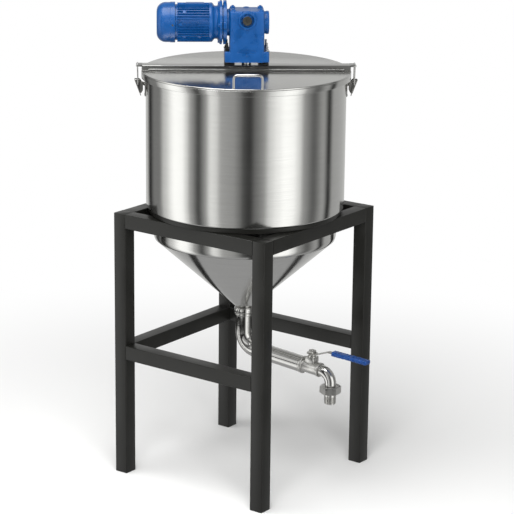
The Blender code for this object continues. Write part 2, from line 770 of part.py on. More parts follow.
def build_drain():
    pull, drop = CLAMP_EDGE
    turned(
        "drain_collar",
        [
            (CLAMP_RADIUS - pull, COLLAR_TOP),
            (CLAMP_RADIUS, COLLAR_TOP - drop),
            (CLAMP_RADIUS, COLLAR_TOP - CLAMP_HEIGHT + drop),
            (CLAMP_RADIUS - pull, COLLAR_TOP - CLAMP_HEIGHT),
            (SLEEVE_RADIUS, COLLAR_TOP - CLAMP_HEIGHT - CLAMP_GROOVE),
            (SLEEVE_RADIUS, COLLAR_BOTTOM),
            (COLLAR_BORE, COLLAR_BOTTOM),
            (COLLAR_BORE, COLLAR_TOP),
        ],
        STEEL,
        tank_frame,
        turns=SMALL_TURNS,
    )
    end = VALVE_OUT - (VALVE_HALF + GAP) * math.cos(DRAIN_PITCH)
    corners = (
        (0.0, 0.0, COLLAR_BOTTOM - GAP),
        (0.0, 0.0, DRAIN_CORNER),
        (0.0, -end, drain_height(end)),
    )
    pipe = tube("drain_pipe", rounded_path(corners, DRAIN_BEND, 8), DRAIN_RADIUS, STEEL, tank_frame, sides=6)
    bore = rod_mesh("bore", DRAIN_RADIUS - PIPE_WALL, 2 * DRAIN_RADIUS, (0.0, 0.0, COLLAR_BOTTOM), "z")
    cut(as_mesh(pipe), bore)
    turned(
        "valve_body",
        [
            (0.0, VALVE_HALF),
            (VALVE_RING, VALVE_HALF),
            (VALVE_RING, VALVE_HALF - VALVE_RING_LONG),
            (VALVE_RADIUS, VALVE_HALF - VALVE_RING_LONG - VALVE_STEP),
            (VALVE_RADIUS, VALVE_LIP_LONG + VALVE_STEP - VALVE_HALF),
            (VALVE_RADIUS + VALVE_STEP, VALVE_LIP_LONG - VALVE_HALF),
            (VALVE_RADIUS + VALVE_STEP, -VALVE_HALF),
            (0.0, -VALVE_HALF),
        ],
        STEEL,
        valve_frame,
        turn=(-math.pi / 2, 0.0, 0.0),
        turns=SMALL_TURNS,
        ring=False,
    )
    seat = VALVE_RADIUS + GAP
    bonnet = add(
        "valve_bonnet",
        box_mesh("pad", BONNET_PAD, (0.0, 0.0, seat + BONNET_LIFT)),
        STEEL,
        valve_frame,
    )
    cut(bonnet, rod_mesh("saddle", seat, 2 * VALVE_HALF, ORIGIN, "y"))
    stem_top = LEVER_LIFT - GAP
    stem = rod_mesh("stem", STEM_RADIUS, stem_top - seat, (0.0, 0.0, (stem_top + seat) / 2), "z")
    cut(bonnet, stem, "UNION")
    bend = OUTLET_OUT - VALVE_OUT - (VALVE_HALF + GAP) * math.cos(DRAIN_PITCH)
    start = OUTLET_OUT - bend
    corners = (
        (0.0, -start, drain_height(start)),
        (0.0, -OUTLET_OUT, drain_height(OUTLET_OUT)),
        (0.0, -OUTLET_OUT, NUT_TOP + GAP),
    )
    tube("outlet_elbow", rounded_path(corners, OUTLET_BEND, 8), OUTLET_RADIUS, STEEL, tank_frame, sides=6)
    hexagon = rod_mesh("union_nut", NUT_ACROSS / math.sqrt(3.0), NUT_TOP - NUT_BOTTOM, ORIGIN, "z", 6)
    nut_place = (0.0, -OUTLET_OUT, (NUT_TOP + NUT_BOTTOM) / 2)
    nut = add("union_nut", hexagon, STEEL, tank_frame, nut_place, (0.0, 0.0, NUT_TURN))
    bevel(nut, NUT_ROUND, 1)
    turned(
        "outlet_nipple",
        [
            (0.0, NUT_BOTTOM - GAP),
            (NIPPLE_RADIUS, NUT_BOTTOM - GAP),
            (NIPPLE_RADIUS, NIPPLE_BOTTOM + NIPPLE_EDGE),
            (NIPPLE_RADIUS - NIPPLE_EDGE, NIPPLE_BOTTOM),
            (NIPPLE_BORE, NIPPLE_BOTTOM),
            (NIPPLE_BORE, NUT_BOTTOM - NIPPLE_FLOOR),
            (0.0, NUT_BOTTOM - NIPPLE_FLOOR),
        ],
        STEEL,
        tank_frame,
        (0.0, -OUTLET_OUT, 0.0),
        turns=SMALL_TURNS,
        ring=False,
    )


def build_valve_lever():
    pivot = empty("valve_lever_pivot", (0.0, 0.0, LEVER_LIFT), parent=valve_frame)
    arm = bmesh.new()
    half = ARM_WIDTH / 2
    grip_end = GRIP_START + GRIP_LENGTH
    arm_run = grip_end - GRIP_END
    path = (
        (ARM_HEEL, 0.0),
        (-ARM_KNEE, 0.0),
        (-ARM_CREST, LEVER_RISE),
        (-ARM_CREST - arm_run * math.cos(GRIP_TILT), LEVER_RISE + arm_run * math.sin(GRIP_TILT)),
    )
    corners = []
    for y, z in path:
        corners.append([arm.verts.new((x, y, z)) for x in (-half, half)])
    for near, far in zip(corners, corners[1:]):
        arm.faces.new((near[0], near[1], far[1], far[0]))
    data = mesh_from("arm", arm)
    lever = add("valve_lever", data, STEEL, pivot)
    wall = lever.modifiers.new("sheet", "SOLIDIFY")
    wall.thickness = ARM_THICK
    wall.offset = 1.0 if data.polygons[0].normal.z > 0 else -1.0
    nut_middle = (0.0, 0.0, ARM_THICK / 2 + STEM_NUT_HEIGHT / 2)
    nut = rod_mesh("stem_nut", STEM_NUT_RADIUS, STEM_NUT_HEIGHT, nut_middle, "z", 6)
    cut(lever, nut, "UNION")
    along = Matrix.Translation((0.0, -ARM_CREST, LEVER_RISE)) @ Matrix.Rotation(-GRIP_TILT, 4, "X")
    grip_middle = (0.0, -GRIP_START - GRIP_LENGTH / 2, ARM_THICK / 2)
    sleeve = box_mesh("sleeve", (GRIP_WIDTH, GRIP_LENGTH, GRIP_THICK), grip_middle)
    sleeve.transform(along)
    grip = add("lever_grip", sleeve, BLUE_VINYL, pivot)
    bevel(grip, GRIP_ROUND, 2)
    slot_length = arm_run + 2 * GAP
    slot_middle = (0.0, -slot_length / 2, ARM_THICK / 2)
    slot = box_mesh("slot", (ARM_WIDTH + 2 * GAP, slot_length, ARM_THICK + 2 * GAP), slot_middle)
    slot.transform(along)
    cut(grip, slot)


def build_latch(word, turn):
    frame = empty(f"{word}_latch_frame", ORIGIN, (0.0, 0.0, turn), bridge_frame)
    pivot = empty(f"{word}_lever_pivot", (PIVOT_OUT, 0.0, PIVOT_HEIGHT), parent=frame)
    wall = JACKET_RADIUS + GAP - PIVOT_OUT
    arm = (
        (wall + LATCH_ARM_SINK, LATCH_ARM_ROOT[0]),
        (0.0, LATCH_ARM_TIP),
        (LATCH_ARM_TIP, 0.0),
        (0.0, -LATCH_ARM_TIP),
        (wall + LATCH_ARM_SINK, LATCH_ARM_ROOT[1]),
    )
    base = plate(f"{word}_latch_base", arm, LATCH_ARM_WIDTH, STEEL, pivot, turn=(math.pi / 2, 0.0, 0.0))
    base = as_mesh(base)
    plate_middle = (wall + LATCH_PLATE[0] / 2, 0.0, LATCH_PLATE_HEIGHT - PIVOT_HEIGHT)
    cut(base, box_mesh("wall_plate", LATCH_PLATE, plate_middle), "UNION")
    cut(base, rod_mesh("pin", PIN_RADIUS, 2 * LEVER_HALF - 0.002, ORIGIN, "y", PIN_TURNS), "UNION")

    lever = plate(
        f"{word}_latch_lever", LEVER_OUTLINE, 2 * LEVER_HALF, STEEL, pivot, turn=(math.pi / 2, 0.0, 0.0)
    )
    lever = as_mesh(lever)
    (top_out, top_up), (foot_out, foot_up) = LEVER_OUTLINE[0], LEVER_OUTLINE[-1]
    lean = math.atan2(top_out - foot_out, top_up - foot_up)
    face = top_out * math.cos(lean) - top_up * math.sin(lean)
    channel_middle = (face - LEVER_WEB - CHANNEL_DEPTH / 2, 0.0, 0.0)
    channel = box_mesh("channel", (CHANNEL_DEPTH, LEVER_CHANNEL, CHANNEL_LONG), channel_middle)
    channel.transform(Matrix.Rotation(lean, 4, "Y"))
    cut(lever, channel)
    cut(lever, rod_mesh("pin_hole", PIN_RADIUS + PIN_PLAY, 4 * LEVER_HALF, ORIGIN, "y", PIN_TURNS))
    cheek = (LEVER_HALF + LEVER_CHANNEL / 2) / 2
    hole_long = 2 * (LEVER_HALF - LEVER_CHANNEL / 2)
    for side in (-1, 1):
        spot = (0.0, side * cheek, -BAIL_PIN_DROP)
        cut(lever, rod_mesh("bail_hole", BAIL_WIRE + PIN_PLAY, hole_long, spot, "y", PIN_TURNS))

    pin_height = PIVOT_HEIGHT - BAIL_PIN_DROP
    swing = empty(f"{word}_bail_pivot", (PIVOT_OUT, 0.0, pin_height), parent=frame)
    top = BRIDGE_TOP + BAIL_PLAY + BAIL_WIRE - pin_height
    corners = (
        (0.0, -BAIL_INNER, 0.0),
        (0.0, -BAIL_HALF, 0.0),
        (BAIL_LEAN, -BAIL_HALF, top),
        (BAIL_LEAN, BAIL_HALF, top),
        (0.0, BAIL_HALF, 0.0),
        (0.0, BAIL_INNER, 0.0),
    )
    tube(f"{word}_latch_bail", rounded_path(corners, BAIL_BEND, 3), BAIL_WIRE, POLISHED, swing, sides=2)


build_stand()
build_tank()
build_lids()
build_bridge()
build_gearbox()
build_motor()
build_mixer()
build_drain()
build_valve_lever()
build_latch("right", 0.0)
build_latch("left", math.pi)
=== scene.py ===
import json
import math

import bmesh
import bpy
from mathutils import Matrix, Vector, noise


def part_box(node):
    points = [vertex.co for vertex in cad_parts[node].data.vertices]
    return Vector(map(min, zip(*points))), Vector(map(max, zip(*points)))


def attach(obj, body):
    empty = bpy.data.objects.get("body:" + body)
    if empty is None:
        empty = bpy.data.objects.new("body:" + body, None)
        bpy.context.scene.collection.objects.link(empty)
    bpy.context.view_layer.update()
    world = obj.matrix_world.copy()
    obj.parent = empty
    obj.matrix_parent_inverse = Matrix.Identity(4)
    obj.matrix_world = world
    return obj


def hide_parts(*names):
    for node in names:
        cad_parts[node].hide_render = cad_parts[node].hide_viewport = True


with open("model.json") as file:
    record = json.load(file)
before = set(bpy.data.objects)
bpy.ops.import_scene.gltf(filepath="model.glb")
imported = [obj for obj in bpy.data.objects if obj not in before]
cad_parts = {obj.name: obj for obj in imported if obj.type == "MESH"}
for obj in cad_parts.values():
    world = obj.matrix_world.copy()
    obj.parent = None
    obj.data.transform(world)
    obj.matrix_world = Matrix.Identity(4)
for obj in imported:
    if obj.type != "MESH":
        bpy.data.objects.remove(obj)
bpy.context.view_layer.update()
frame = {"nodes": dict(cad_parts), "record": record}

rimLow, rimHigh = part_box("rim_band")
axisY = (rimLow[1] + rimHigh[1]) / 2  # the tank's own axis
tankPlace = Matrix.Translation((0.0, axisY, 0.0))
bridgeTurn = math.radians(-51.0)
bridgePlace = tankPlace @ Matrix.Rotation(bridgeTurn, 4, "Z")  # +X runs to the bridge's right end
gap = 0.0003

# Camera and studio
studio = {
    "azimuth": 53.172, "elevation": 17.861, "distance": 7.4396, "aimHeight": 0.48, "turnRight": 0.336,
    "turnUp": 2.143, "roll": 0.514, "lens": 148.71, "floorSize": 60.0, "floorColour": (0.80, 0.80, 0.795),
    "floorFade": (0.5, 2.4), "keyPower": 150.0, "keySize": 3.0, "keyPlace": (-1.2, -1.0, 4.5),
    "fillPower": 270.0, "fillSize": (4.0, 2.5), "fillAway": 5.0, "fillRise": 25.0, "overhead": 0.30,
    "underneath": 0.40, "lowBand": (-0.75, -0.42), "highBand": (0.45, 0.62),
}
# Strips of light and dark round the horizon: degrees from the camera, positive to the right, and brightness
studioStrips = (
    (-180, 0.66), (-158, 0.62), (-143, 0.02), (-129, 0.24), (-117, 0.24), (-107, 0.75), (-88, 1.52),
    (-78, 1.48), (-71, 0.98), (-66, 0.44), (-55, 0.06), (-47, 0.36), (-40, 1.10), (-34, 0.95), (-28, 0.47),
    (-14, 0.41), (-7, 0.25), (-2, 0.09), (5, 0.04), (13, 0.23), (20, 0.36), (29, 0.95), (37, 1.25),
    (46, 1.52), (56, 1.46), (64, 1.02), (71, 0.38), (85, 0.14), (101, 0.44), (111, 0.0), (121, 0.46),
    (180, 0.62),
)


def at(across, along, up):
    return Matrix.Translation((across, along, up))


def turnBy(degrees, axis):
    return Matrix.Rotation(math.radians(degrees), 4, axis)


def addNode(nodes, kind, settings=None, values=None):
    made = nodes.new("ShaderNode" + kind)
    for name, value in (settings or {}).items():
        setattr(made, name, value)
    for name, value in (values or {}).items():
        made.inputs[name].default_value = value
    return made


def setCamera():
    view = studio
    azimuth = math.radians(view["azimuth"])
    elevation = math.radians(view["elevation"])
    ahead = Vector(
        (
            math.sin(azimuth) * math.cos(elevation), math.cos(azimuth) * math.cos(elevation),
            -math.sin(elevation),
        )
    )
    aim = Vector((0.0, axisY, view["aimHeight"]))
    data = bpy.data.cameras.new("photoCamera")
    data.lens = view["lens"]
    data.clip_end = 200.0
    camera = bpy.data.objects.new("photoCamera", data)
    bpy.context.scene.collection.objects.link(camera)
    look = (ahead).to_track_quat("-Z", "Y").to_matrix().to_4x4()
    turn = turnBy(-view["turnRight"], "Y")
    turn = turn @ turnBy(view["turnUp"], "X")
    turn = turn @ turnBy(view["roll"], "Z")
    camera.matrix_world = Matrix.Translation(aim - ahead * view["distance"]) @ look @ turn
    bpy.context.scene.camera = camera


def setWorld():
    world = bpy.data.worlds.new("studioRoom")
    bpy.context.scene.world = world
    world.use_nodes = True
    nodes, link = world.node_tree.nodes, world.node_tree.links.new
    nodes.clear()
    direction = addNode(nodes, "TexCoord").outputs["Generated"]
    # turned so that the ramp's middle lies toward the camera
    turn = addNode(nodes, "VectorRotate", {"rotation_type": "Z_AXIS"})
    turn.inputs["Angle"].default_value = math.radians(90.0 + studio["azimuth"])
    link(direction, turn.inputs["Vector"])
    turned = addNode(nodes, "SeparateXYZ")
    link(turn.outputs[0], turned.inputs[0])
    angle = addNode(nodes, "Math", {"operation": "ARCTAN2"})
    link(turned.outputs["Y"], angle.inputs[0])
    link(turned.outputs["X"], angle.inputs[1])
    place = addNode(nodes, "MapRange", {}, {"From Min": -math.pi, "From Max": math.pi})
    link(angle.outputs[0], place.inputs["Value"])
    strips = addNode(nodes, "ValToRGB")
    ramp = strips.color_ramp
    ramp.interpolation = "EASE"
    for number, (degrees, bright) in enumerate(studioStrips):
        along = (degrees + 180.0) / 360.0
        stop = ramp.elements[number] if number < 2 else ramp.elements.new(along)
        stop.position = along
        stop.color = (bright, bright, bright * 0.985, 1.0)
    link(place.outputs[0], strips.inputs["Fac"])
    # the room darkens below the horizon and overhead, where the soft box hangs
    split = addNode(nodes, "SeparateXYZ")
    link(direction, split.inputs[0])
    colour = strips.outputs["Color"]
    for band, word, own, other in (("lowBand", "underneath", "A", "B"), ("highBand", "overhead", "B", "A")):
        low, high = studio[band]
        share = addNode(
            nodes, "MapRange", {"interpolation_type": "SMOOTHSTEP"}, {"From Min": low, "From Max": high},
        )
        link(split.outputs["Z"], share.inputs["Value"])
        mix = addNode(nodes, "Mix", {"data_type": "RGBA"}, {own: (*[studio[word]] * 3, 1.0)})
        link(share.outputs[0], mix.inputs["Factor"])
        link(colour, mix.inputs[other])
        colour = mix.outputs["Result"]
    room = addNode(nodes, "Background")
    link(colour, room.inputs["Color"])
    paper = addNode(nodes, "Background", {}, {"Color": (1.0, 1.0, 1.0, 1.0)})
    rays = addNode(nodes, "LightPath")
    choose = addNode(nodes, "MixShader")
    link(rays.outputs["Is Camera Ray"], choose.inputs["Fac"])
    link(room.outputs[0], choose.inputs[1])
    link(paper.outputs[0], choose.inputs[2])
    link(choose.outputs[0], addNode(nodes, "OutputWorld").inputs["Surface"])


def setFloorAndLight():
    view = studio
    made = bmesh.new()
    bmesh.ops.create_grid(made, x_segments=1, y_segments=1, size=view["floorSize"] / 2)
    data = bpy.data.meshes.new("studioFloor")
    made.to_mesh(data)
    made.free()
    floor = bpy.data.objects.new("studioFloor", data)
    floor.location = (0.0, axisY, -0.0005)
    bpy.context.scene.collection.objects.link(floor)
    paper = bpy.data.materials.new("paleFloor")
    paper.use_nodes = True
    shader = paper.node_tree.nodes["Principled BSDF"]
    shader.inputs["Base Color"].default_value = (*view["floorColour"], 1.0)
    shader.inputs["Roughness"].default_value = 0.9
    shader.inputs["Specular IOR Level"].default_value = 0.0
    # away from the tank the paper runs out to plain white
    nodes, link = paper.node_tree.nodes, paper.node_tree.links.new
    place = nodes.new("ShaderNodeTexCoord")
    length = nodes.new("ShaderNodeVectorMath")
    length.operation = "LENGTH"
    link(place.outputs["Object"], length.inputs[0])
    fade = nodes.new("ShaderNodeMapRange")
    fade.interpolation_type = "SMOOTHSTEP"
    fade.inputs["From Min"].default_value, fade.inputs["From Max"].default_value = view["floorFade"]
    link(length.outputs["Value"], fade.inputs["Value"])
    white = nodes.new("ShaderNodeEmission")
    mix = nodes.new("ShaderNodeMixShader")
    link(fade.outputs[0], mix.inputs["Fac"])
    link(shader.outputs[0], mix.inputs[1])
    link(white.outputs[0], mix.inputs[2])
    link(mix.outputs[0], nodes["Material Output"].inputs["Surface"])
    data.materials.append(paper)
    floor.visible_glossy = False
    # places from the tank's axis: across the view to the right, away from the camera, and up
    azimuth = math.radians(view["azimuth"])
    turn = at(0.0, axisY, 0.0) @ Matrix.Rotation(-azimuth, 4, "Z")
    key = addSoftBox("softKey", view["keyPower"], (view["keySize"], view["keySize"]))
    key.matrix_world = turn @ Matrix.Translation(view["keyPlace"])
    rise = math.radians(view["fillRise"])
    away = view["fillAway"]
    fill = addSoftBox("frontFill", view["fillPower"], view["fillSize"])
    spot = at(0.0, -away * math.cos(rise), 0.9 + away * math.sin(rise))
    fill.matrix_world = turn @ spot @ Matrix.Rotation(math.pi / 2 - rise, 4, "X")
    fill.visible_glossy = False


def addSoftBox(name, power, size):
    lamp = bpy.data.lights.new(name, "AREA")
    lamp.shape = "RECTANGLE"
    lamp.size, lamp.size_y = size
    lamp.energy = power
    box = bpy.data.objects.new(name, lamp)
    bpy.context.scene.collection.objects.link(box)
    return box


bpy.context.scene.view_settings.view_transform = "Standard"
setCamera()
setWorld()
setFloorAndLight()
print("studio ready")


# Finishes. Patterns read Object coordinates, which are the tank's own, in metres
even = (1.0, 1.0, 1.0)
patternSpan = (0.35, 0.65)


def patternOn(finish, stretch, scale, detail, turn=0.0):
    nodes, link = finish.node_tree.nodes, finish.node_tree.links.new
    place = addNode(nodes, "TexCoord")
    mapping = addNode(nodes, "Mapping", {}, {"Rotation": (0.0, 0.0, turn), "Scale": stretch})
    pattern = addNode(nodes, "TexNoise", {}, {"Scale": scale, "Detail": detail})
    link(place.outputs["Object"], mapping.inputs["Vector"])
    link(mapping.outputs[0], pattern.inputs["Vector"])
    return pattern


def newFinish(
    name, colour, metallic, rough, haze, fine=None, bump=None, tint=None, grained=False, turn=0.0,
    gloss=0.5,
):
    # the haze spreads the roughness, the fine pattern gives the bump, and one of them mixes two tints
    made = bpy.data.materials.new(name)
    made.use_nodes = True
    nodes, link = made.node_tree.nodes, made.node_tree.links.new
    shader = nodes["Principled BSDF"]
    shader.inputs["Base Color"].default_value = (*colour, 1.0)
    shader.inputs["Metallic"].default_value = metallic
    shader.inputs["Specular IOR Level"].default_value = gloss
    shader.inputs["Roughness"].default_value = sum(rough) / 2
    cloud = grain = patternOn(made, *haze)
    spread = addNode(nodes, "MapRange")
    for socket, value in zip(("From Min", "From Max", "To Min", "To Max"), patternSpan + rough):
        spread.inputs[socket].default_value = value
    link(cloud.outputs["Fac"], spread.inputs["Value"])
    link(spread.outputs[0], shader.inputs["Roughness"])
    if fine:
        grain = patternOn(made, *fine, turn)
        relief = addNode(nodes, "Bump", {}, {"Strength": bump[0], "Distance": bump[1]})
        link(grain.outputs["Fac"], relief.inputs["Height"])
        link(relief.outputs[0], shader.inputs["Normal"])
    if tint:
        ramp = addNode(nodes, "ValToRGB")
        for stop, along, shade in zip(ramp.color_ramp.elements, patternSpan, tint):
            stop.position = along
            stop.color = (*shade, 1.0)
        link((grain if grained else cloud).outputs["Fac"], ramp.inputs["Fac"])
        link(ramp.outputs["Color"], shader.inputs["Base Color"])
    return made


# polished round the shell: fine lines that run level
shellSteel = newFinish(
    "shellSteel", (0.66, 0.66, 0.645), 1.0, (0.13, 0.17), ((1.0, 1.0, 1.4), 5.0, 3.0),
    ((1.0, 1.0, 60.0), 9.0, 5.0), (0.08, 0.0004), ((0.635, 0.635, 0.62), (0.68, 0.68, 0.665)), grained=True,
)
shellShader = shellSteel.node_tree.nodes["Principled BSDF"]
shellShader.inputs["Anisotropic"].default_value = 0.35
shellShader.inputs["Anisotropic Rotation"].default_value = 0.25
# satin sheet, grain along the bridge
lidSteel = newFinish(
    "lidSteel", (0.64, 0.64, 0.625), 1.0, (0.18, 0.22), (even, 4.0, 3.0), ((2.0, 110.0, 2.0), 9.0, 5.0),
    (0.06, 0.0003), ((0.61, 0.61, 0.595), (0.66, 0.66, 0.645)), grained=True, turn=-bridgeTurn,
)
# the bridge's polished channel
mirrorSteel = newFinish(
    "mirrorSteel", (0.4, 0.4, 0.39), 1.0, (0.06, 0.12), (even, 9.0, 4.0),
    tint=((0.37, 0.37, 0.36), (0.42, 0.42, 0.41)),
)
plainSteels = {
    "pipeSteel": ((0.66, 0.655, 0.64), (0.1, 0.18)),
    "fittingSteel": ((0.68, 0.675, 0.655), (0.26, 0.38)),
    "hingeSteel": ((0.4, 0.4, 0.39), (0.3, 0.42)),
    "latchSteel": ((0.42, 0.415, 0.4), (0.16, 0.28)),
    "wireSteel": ((0.66, 0.66, 0.65), (0.08, 0.15)),
    "screwZinc": ((0.45, 0.46, 0.48), (0.22, 0.38)),
}
pipeSteel, fittingSteel, hingeSteel, latchSteel, wireSteel, screwZinc = [
    newFinish(name, colour, 1.0, rough, (even, 60.0, 3.0), (even, 360.0, 3.0), (0.05, 0.0003))
    for name, (colour, rough) in plainSteels.items()
]
charcoalPaint = newFinish(
    "charcoalPaint", (0.007, 0.007, 0.006), 0.0, (0.3, 0.42), (even, 7.0, 5.0), (even, 420.0, 2.0),
    (0.12, 0.0004), ((0.006, 0.006, 0.005), (0.009, 0.009, 0.0078)), gloss=0.4,
)
bluePaint = newFinish(
    "bluePaint", (0.002, 0.055, 0.2), 0.0, (0.24, 0.36), (even, 26.0, 4.0), (even, 330.0, 3.0),
    (0.16, 0.0006), ((0.0015, 0.048, 0.18), (0.003, 0.061, 0.222)), gloss=0.45,
)
blueVinyl = newFinish(
    "blueVinyl", (0.003, 0.04, 0.17), 0.0, (0.22, 0.42), (even, 150.0, 4.0), (even, 150.0, 4.0),
    (0.35, 0.001), ((0.002, 0.03, 0.14), (0.004, 0.048, 0.21)),
)
blackPlastic = newFinish(
    "blackPlastic", (0.02, 0.02, 0.017), 0.0, (0.42, 0.56), (even, 260.0, 3.0), (even, 260.0, 3.0),
    (0.15, 0.0004),
)
print("finishes ready")


# Mesh helpers. Every shape is made where it stays, so that its object sits at the origin
fineSides, roundSides = 96, 64
crispEdge, softEdge = 0.0006, 0.0012


def shape():
    return bmesh.new()


def addBox(made, size, middle, turn=None):
    spot = Matrix.Translation(middle)
    if turn:
        spot = spot @ turn
    return bmesh.ops.create_cube(made, size=1.0, matrix=spot @ Matrix.Diagonal((*size, 1.0)))["verts"]


towards = {"x": turnBy(90, "Y"), "y": turnBy(-90, "X"), "z": Matrix.Identity(4)}


def addPrism(made, radius, depth, place, sides=6, tip=None):
    end = radius if tip is None else tip
    return bmesh.ops.create_cone(
        made, cap_ends=True, segments=sides, radius1=radius, radius2=end, depth=depth, matrix=place
    )["verts"]


def addRod(made, radius, length, middle, axis="z", sides=32):
    return addPrism(made, radius, length, Matrix.Translation(middle) @ towards[axis], sides)


def addTurned(made, profile, sides=64, place=None, ring=False):
    # spins (radius, height) points about Z, then sets the shape in its place
    if not ring and profile[-1][0] > 0.0:
        profile = list(profile) + [(0.0, profile[-1][1])]
    start = [made.verts.new((radius, 0.0, height)) for radius, height in profile]
    pairs = list(zip(start, start[1:])) + ([(start[-1], start[0])] if ring else [])
    edges = [made.edges.new(pair) for pair in pairs]
    bmesh.ops.spin(
        made, geom=start + edges, cent=(0.0, 0.0, 0.0), axis=(0.0, 0.0, 1.0), angle=2 * math.pi,
        steps=sides, use_merge=True, use_duplicate=False,
    )
    found = dict.fromkeys(start)
    stack = list(start)
    while stack:
        for edge in stack.pop().link_edges:
            for vert in edge.verts:
                if vert not in found:
                    found[vert] = None
                    stack.append(vert)
    bmesh.ops.remove_doubles(made, verts=list(found), dist=0.000002)
    found = [vert for vert in found if vert.is_valid]
    if place:
        bmesh.ops.transform(made, matrix=place, verts=found)
    return found


def arc(middle, radius, start, end, steps):
    # points of an arc in the profile's plane, in degrees, 0 pointing outward and 90 up
    points = []
    for step in range(steps + 1):
        angle = math.radians(start + (end - start) * step / steps)
        points.append((middle[0] + radius * math.cos(angle), middle[1] + radius * math.sin(angle)))
    return points


def roundEdges(made, width, segments=2, sharper=30.0, only=None):
    limit = math.radians(sharper)
    edges = []
    for edge in made.edges:
        if len(edge.link_faces) == 2 and edge.calc_face_angle(0.0) > limit:
            if only is None or only(edge):
                edges.append(edge)
    bmesh.ops.bevel(
        made, geom=edges, offset=width, offset_type="OFFSET", segments=segments, profile=0.5,
        affect="EDGES", clamp_overlap=True, material=-1,
    )


def runs(axis, least):
    # says of an edge whether it runs along the axis for more than this
    number = "xyz".index(axis)
    return lambda edge: abs(edge.verts[0].co[number] - edge.verts[1].co[number]) > least


def keep(name, made, finish, nodes="", place=None, body="tank", sharp=32.0, turnOut=True):
    # writes the shape as one piece that rides on a body and stands for CAD nodes
    bmesh.ops.remove_doubles(made, verts=made.verts, dist=0.000005)
    if turnOut:
        bmesh.ops.recalc_face_normals(made, faces=made.faces)
    if place:
        made.transform(place)
    data = bpy.data.meshes.new(name)
    made.to_mesh(data)
    made.free()
    data.materials.append(finish)
    data.shade_smooth()
    data.set_sharp_from_angle(angle=math.radians(sharp))
    piece = bpy.data.objects.new(name, data)
    bpy.context.scene.collection.objects.link(piece)
    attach(piece, body)
    if nodes:
        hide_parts(*nodes.split())
    return piece


def roundedPath(corners, radius, steps=8):
    path = [Vector(corners[0])]
    for before, corner, after in zip(corners, corners[1:], corners[2:]):
        corner = Vector(corner)
        back = (Vector(before) - corner).normalized()
        ahead = (Vector(after) - corner).normalized()
        half = back.angle(ahead) / 2
        middle = corner + (back + ahead).normalized() * radius / math.sin(half)
        start = corner + back * radius / math.tan(half) - middle
        end = corner + ahead * radius / math.tan(half) - middle
        axis = start.cross(end).normalized()
        sweep = start.angle(end)
        for step in range(steps + 1):
            path.append(middle + Matrix.Rotation(sweep * step / steps, 3, axis) @ start)
    path.append(Vector(corners[-1]))
    return path


def addBar(made, path, radius, sides=20):
    # a round bar along a path of straight runs and arcs: one ring for each point, bridged
    rings = []
    side = None
    for number, point in enumerate(path):
        before = path[max(number - 1, 0)]
        after = path[min(number + 1, len(path) - 1)]
        along = (after - before).normalized()
        if side is None:
            side = along.orthogonal().normalized()
        side = (side - along * side.dot(along)).normalized()
        other = along.cross(side)
        turn = Matrix((side, other, along)).transposed().to_4x4()
        ring = bmesh.ops.create_circle(
            made, cap_ends=False, segments=sides, radius=radius, matrix=Matrix.Translation(point) @ turn
        )["verts"]
        rings.append(list(dict.fromkeys(edge for vert in ring for edge in vert.link_edges)))
    for near, far in zip(rings, rings[1:]):
        bmesh.ops.bridge_loops(made, edges=near + far)
    bmesh.ops.holes_fill(made, edges=rings[0] + rings[-1], sides=sides)


def addWeldRing(made, radius, bead, height, ripples, place=None):
    # a weld bead round a pipe or a rod, with its ripples
    start = at(radius, 0.0, height) @ turnBy(90, "X")
    ring = bmesh.ops.create_circle(made, cap_ends=False, segments=8, radius=bead, matrix=start)["verts"]
    edges = list(dict.fromkeys(edge for vert in ring for edge in vert.link_edges))
    before = set(made.verts) - set(ring)
    bmesh.ops.spin(
        made, geom=ring + edges, cent=(0.0, 0.0, 0.0), axis=(0.0, 0.0, 1.0), angle=2 * math.pi,
        steps=ripples * 4, use_merge=True, use_duplicate=False,
    )
    verts = [vert for vert in made.verts if vert not in before]
    for vert in verts:
        angle = math.atan2(vert.co.y, vert.co.x)
        middle = Vector((radius * math.cos(angle), radius * math.sin(angle), height))
        vert.co = middle + (vert.co - middle) * (1.0 + 0.16 * math.cos(angle * ripples))
    if place:
        bmesh.ops.transform(made, matrix=place, verts=verts)


def addPlate(made, outline, thick, place):
    # a flat outline on the place's XY plane, as thick on both sides
    start = [made.verts.new((x, y, -thick / 2)) for x, y in outline]
    face = made.faces.new(start)
    lifted = bmesh.ops.extrude_face_region(made, geom=[face])["geom"]
    lifted = [item for item in lifted if isinstance(item, bmesh.types.BMVert)]
    bmesh.ops.translate(made, vec=(0.0, 0.0, thick), verts=lifted)
    bmesh.ops.transform(made, matrix=place, verts=start + lifted)


def addStrip(made, path, width, thick):
    # a bent strip of sheet: the (y, z) path is pulled across and thickened
    start = [made.verts.new((-width / 2, y, z)) for y, z in path]
    edges = [made.edges.new(pair) for pair in zip(start, start[1:])]
    pulled = bmesh.ops.extrude_edge_only(made, edges=edges)["geom"]
    across = [item for item in pulled if isinstance(item, bmesh.types.BMVert)]
    faces = [item for item in pulled if isinstance(item, bmesh.types.BMFace)]
    bmesh.ops.translate(made, vec=(width, 0.0, 0.0), verts=across)
    if faces[0].normal.z > 0:
        bmesh.ops.reverse_faces(made, faces=faces)
    bmesh.ops.solidify(made, geom=faces, thickness=thick)


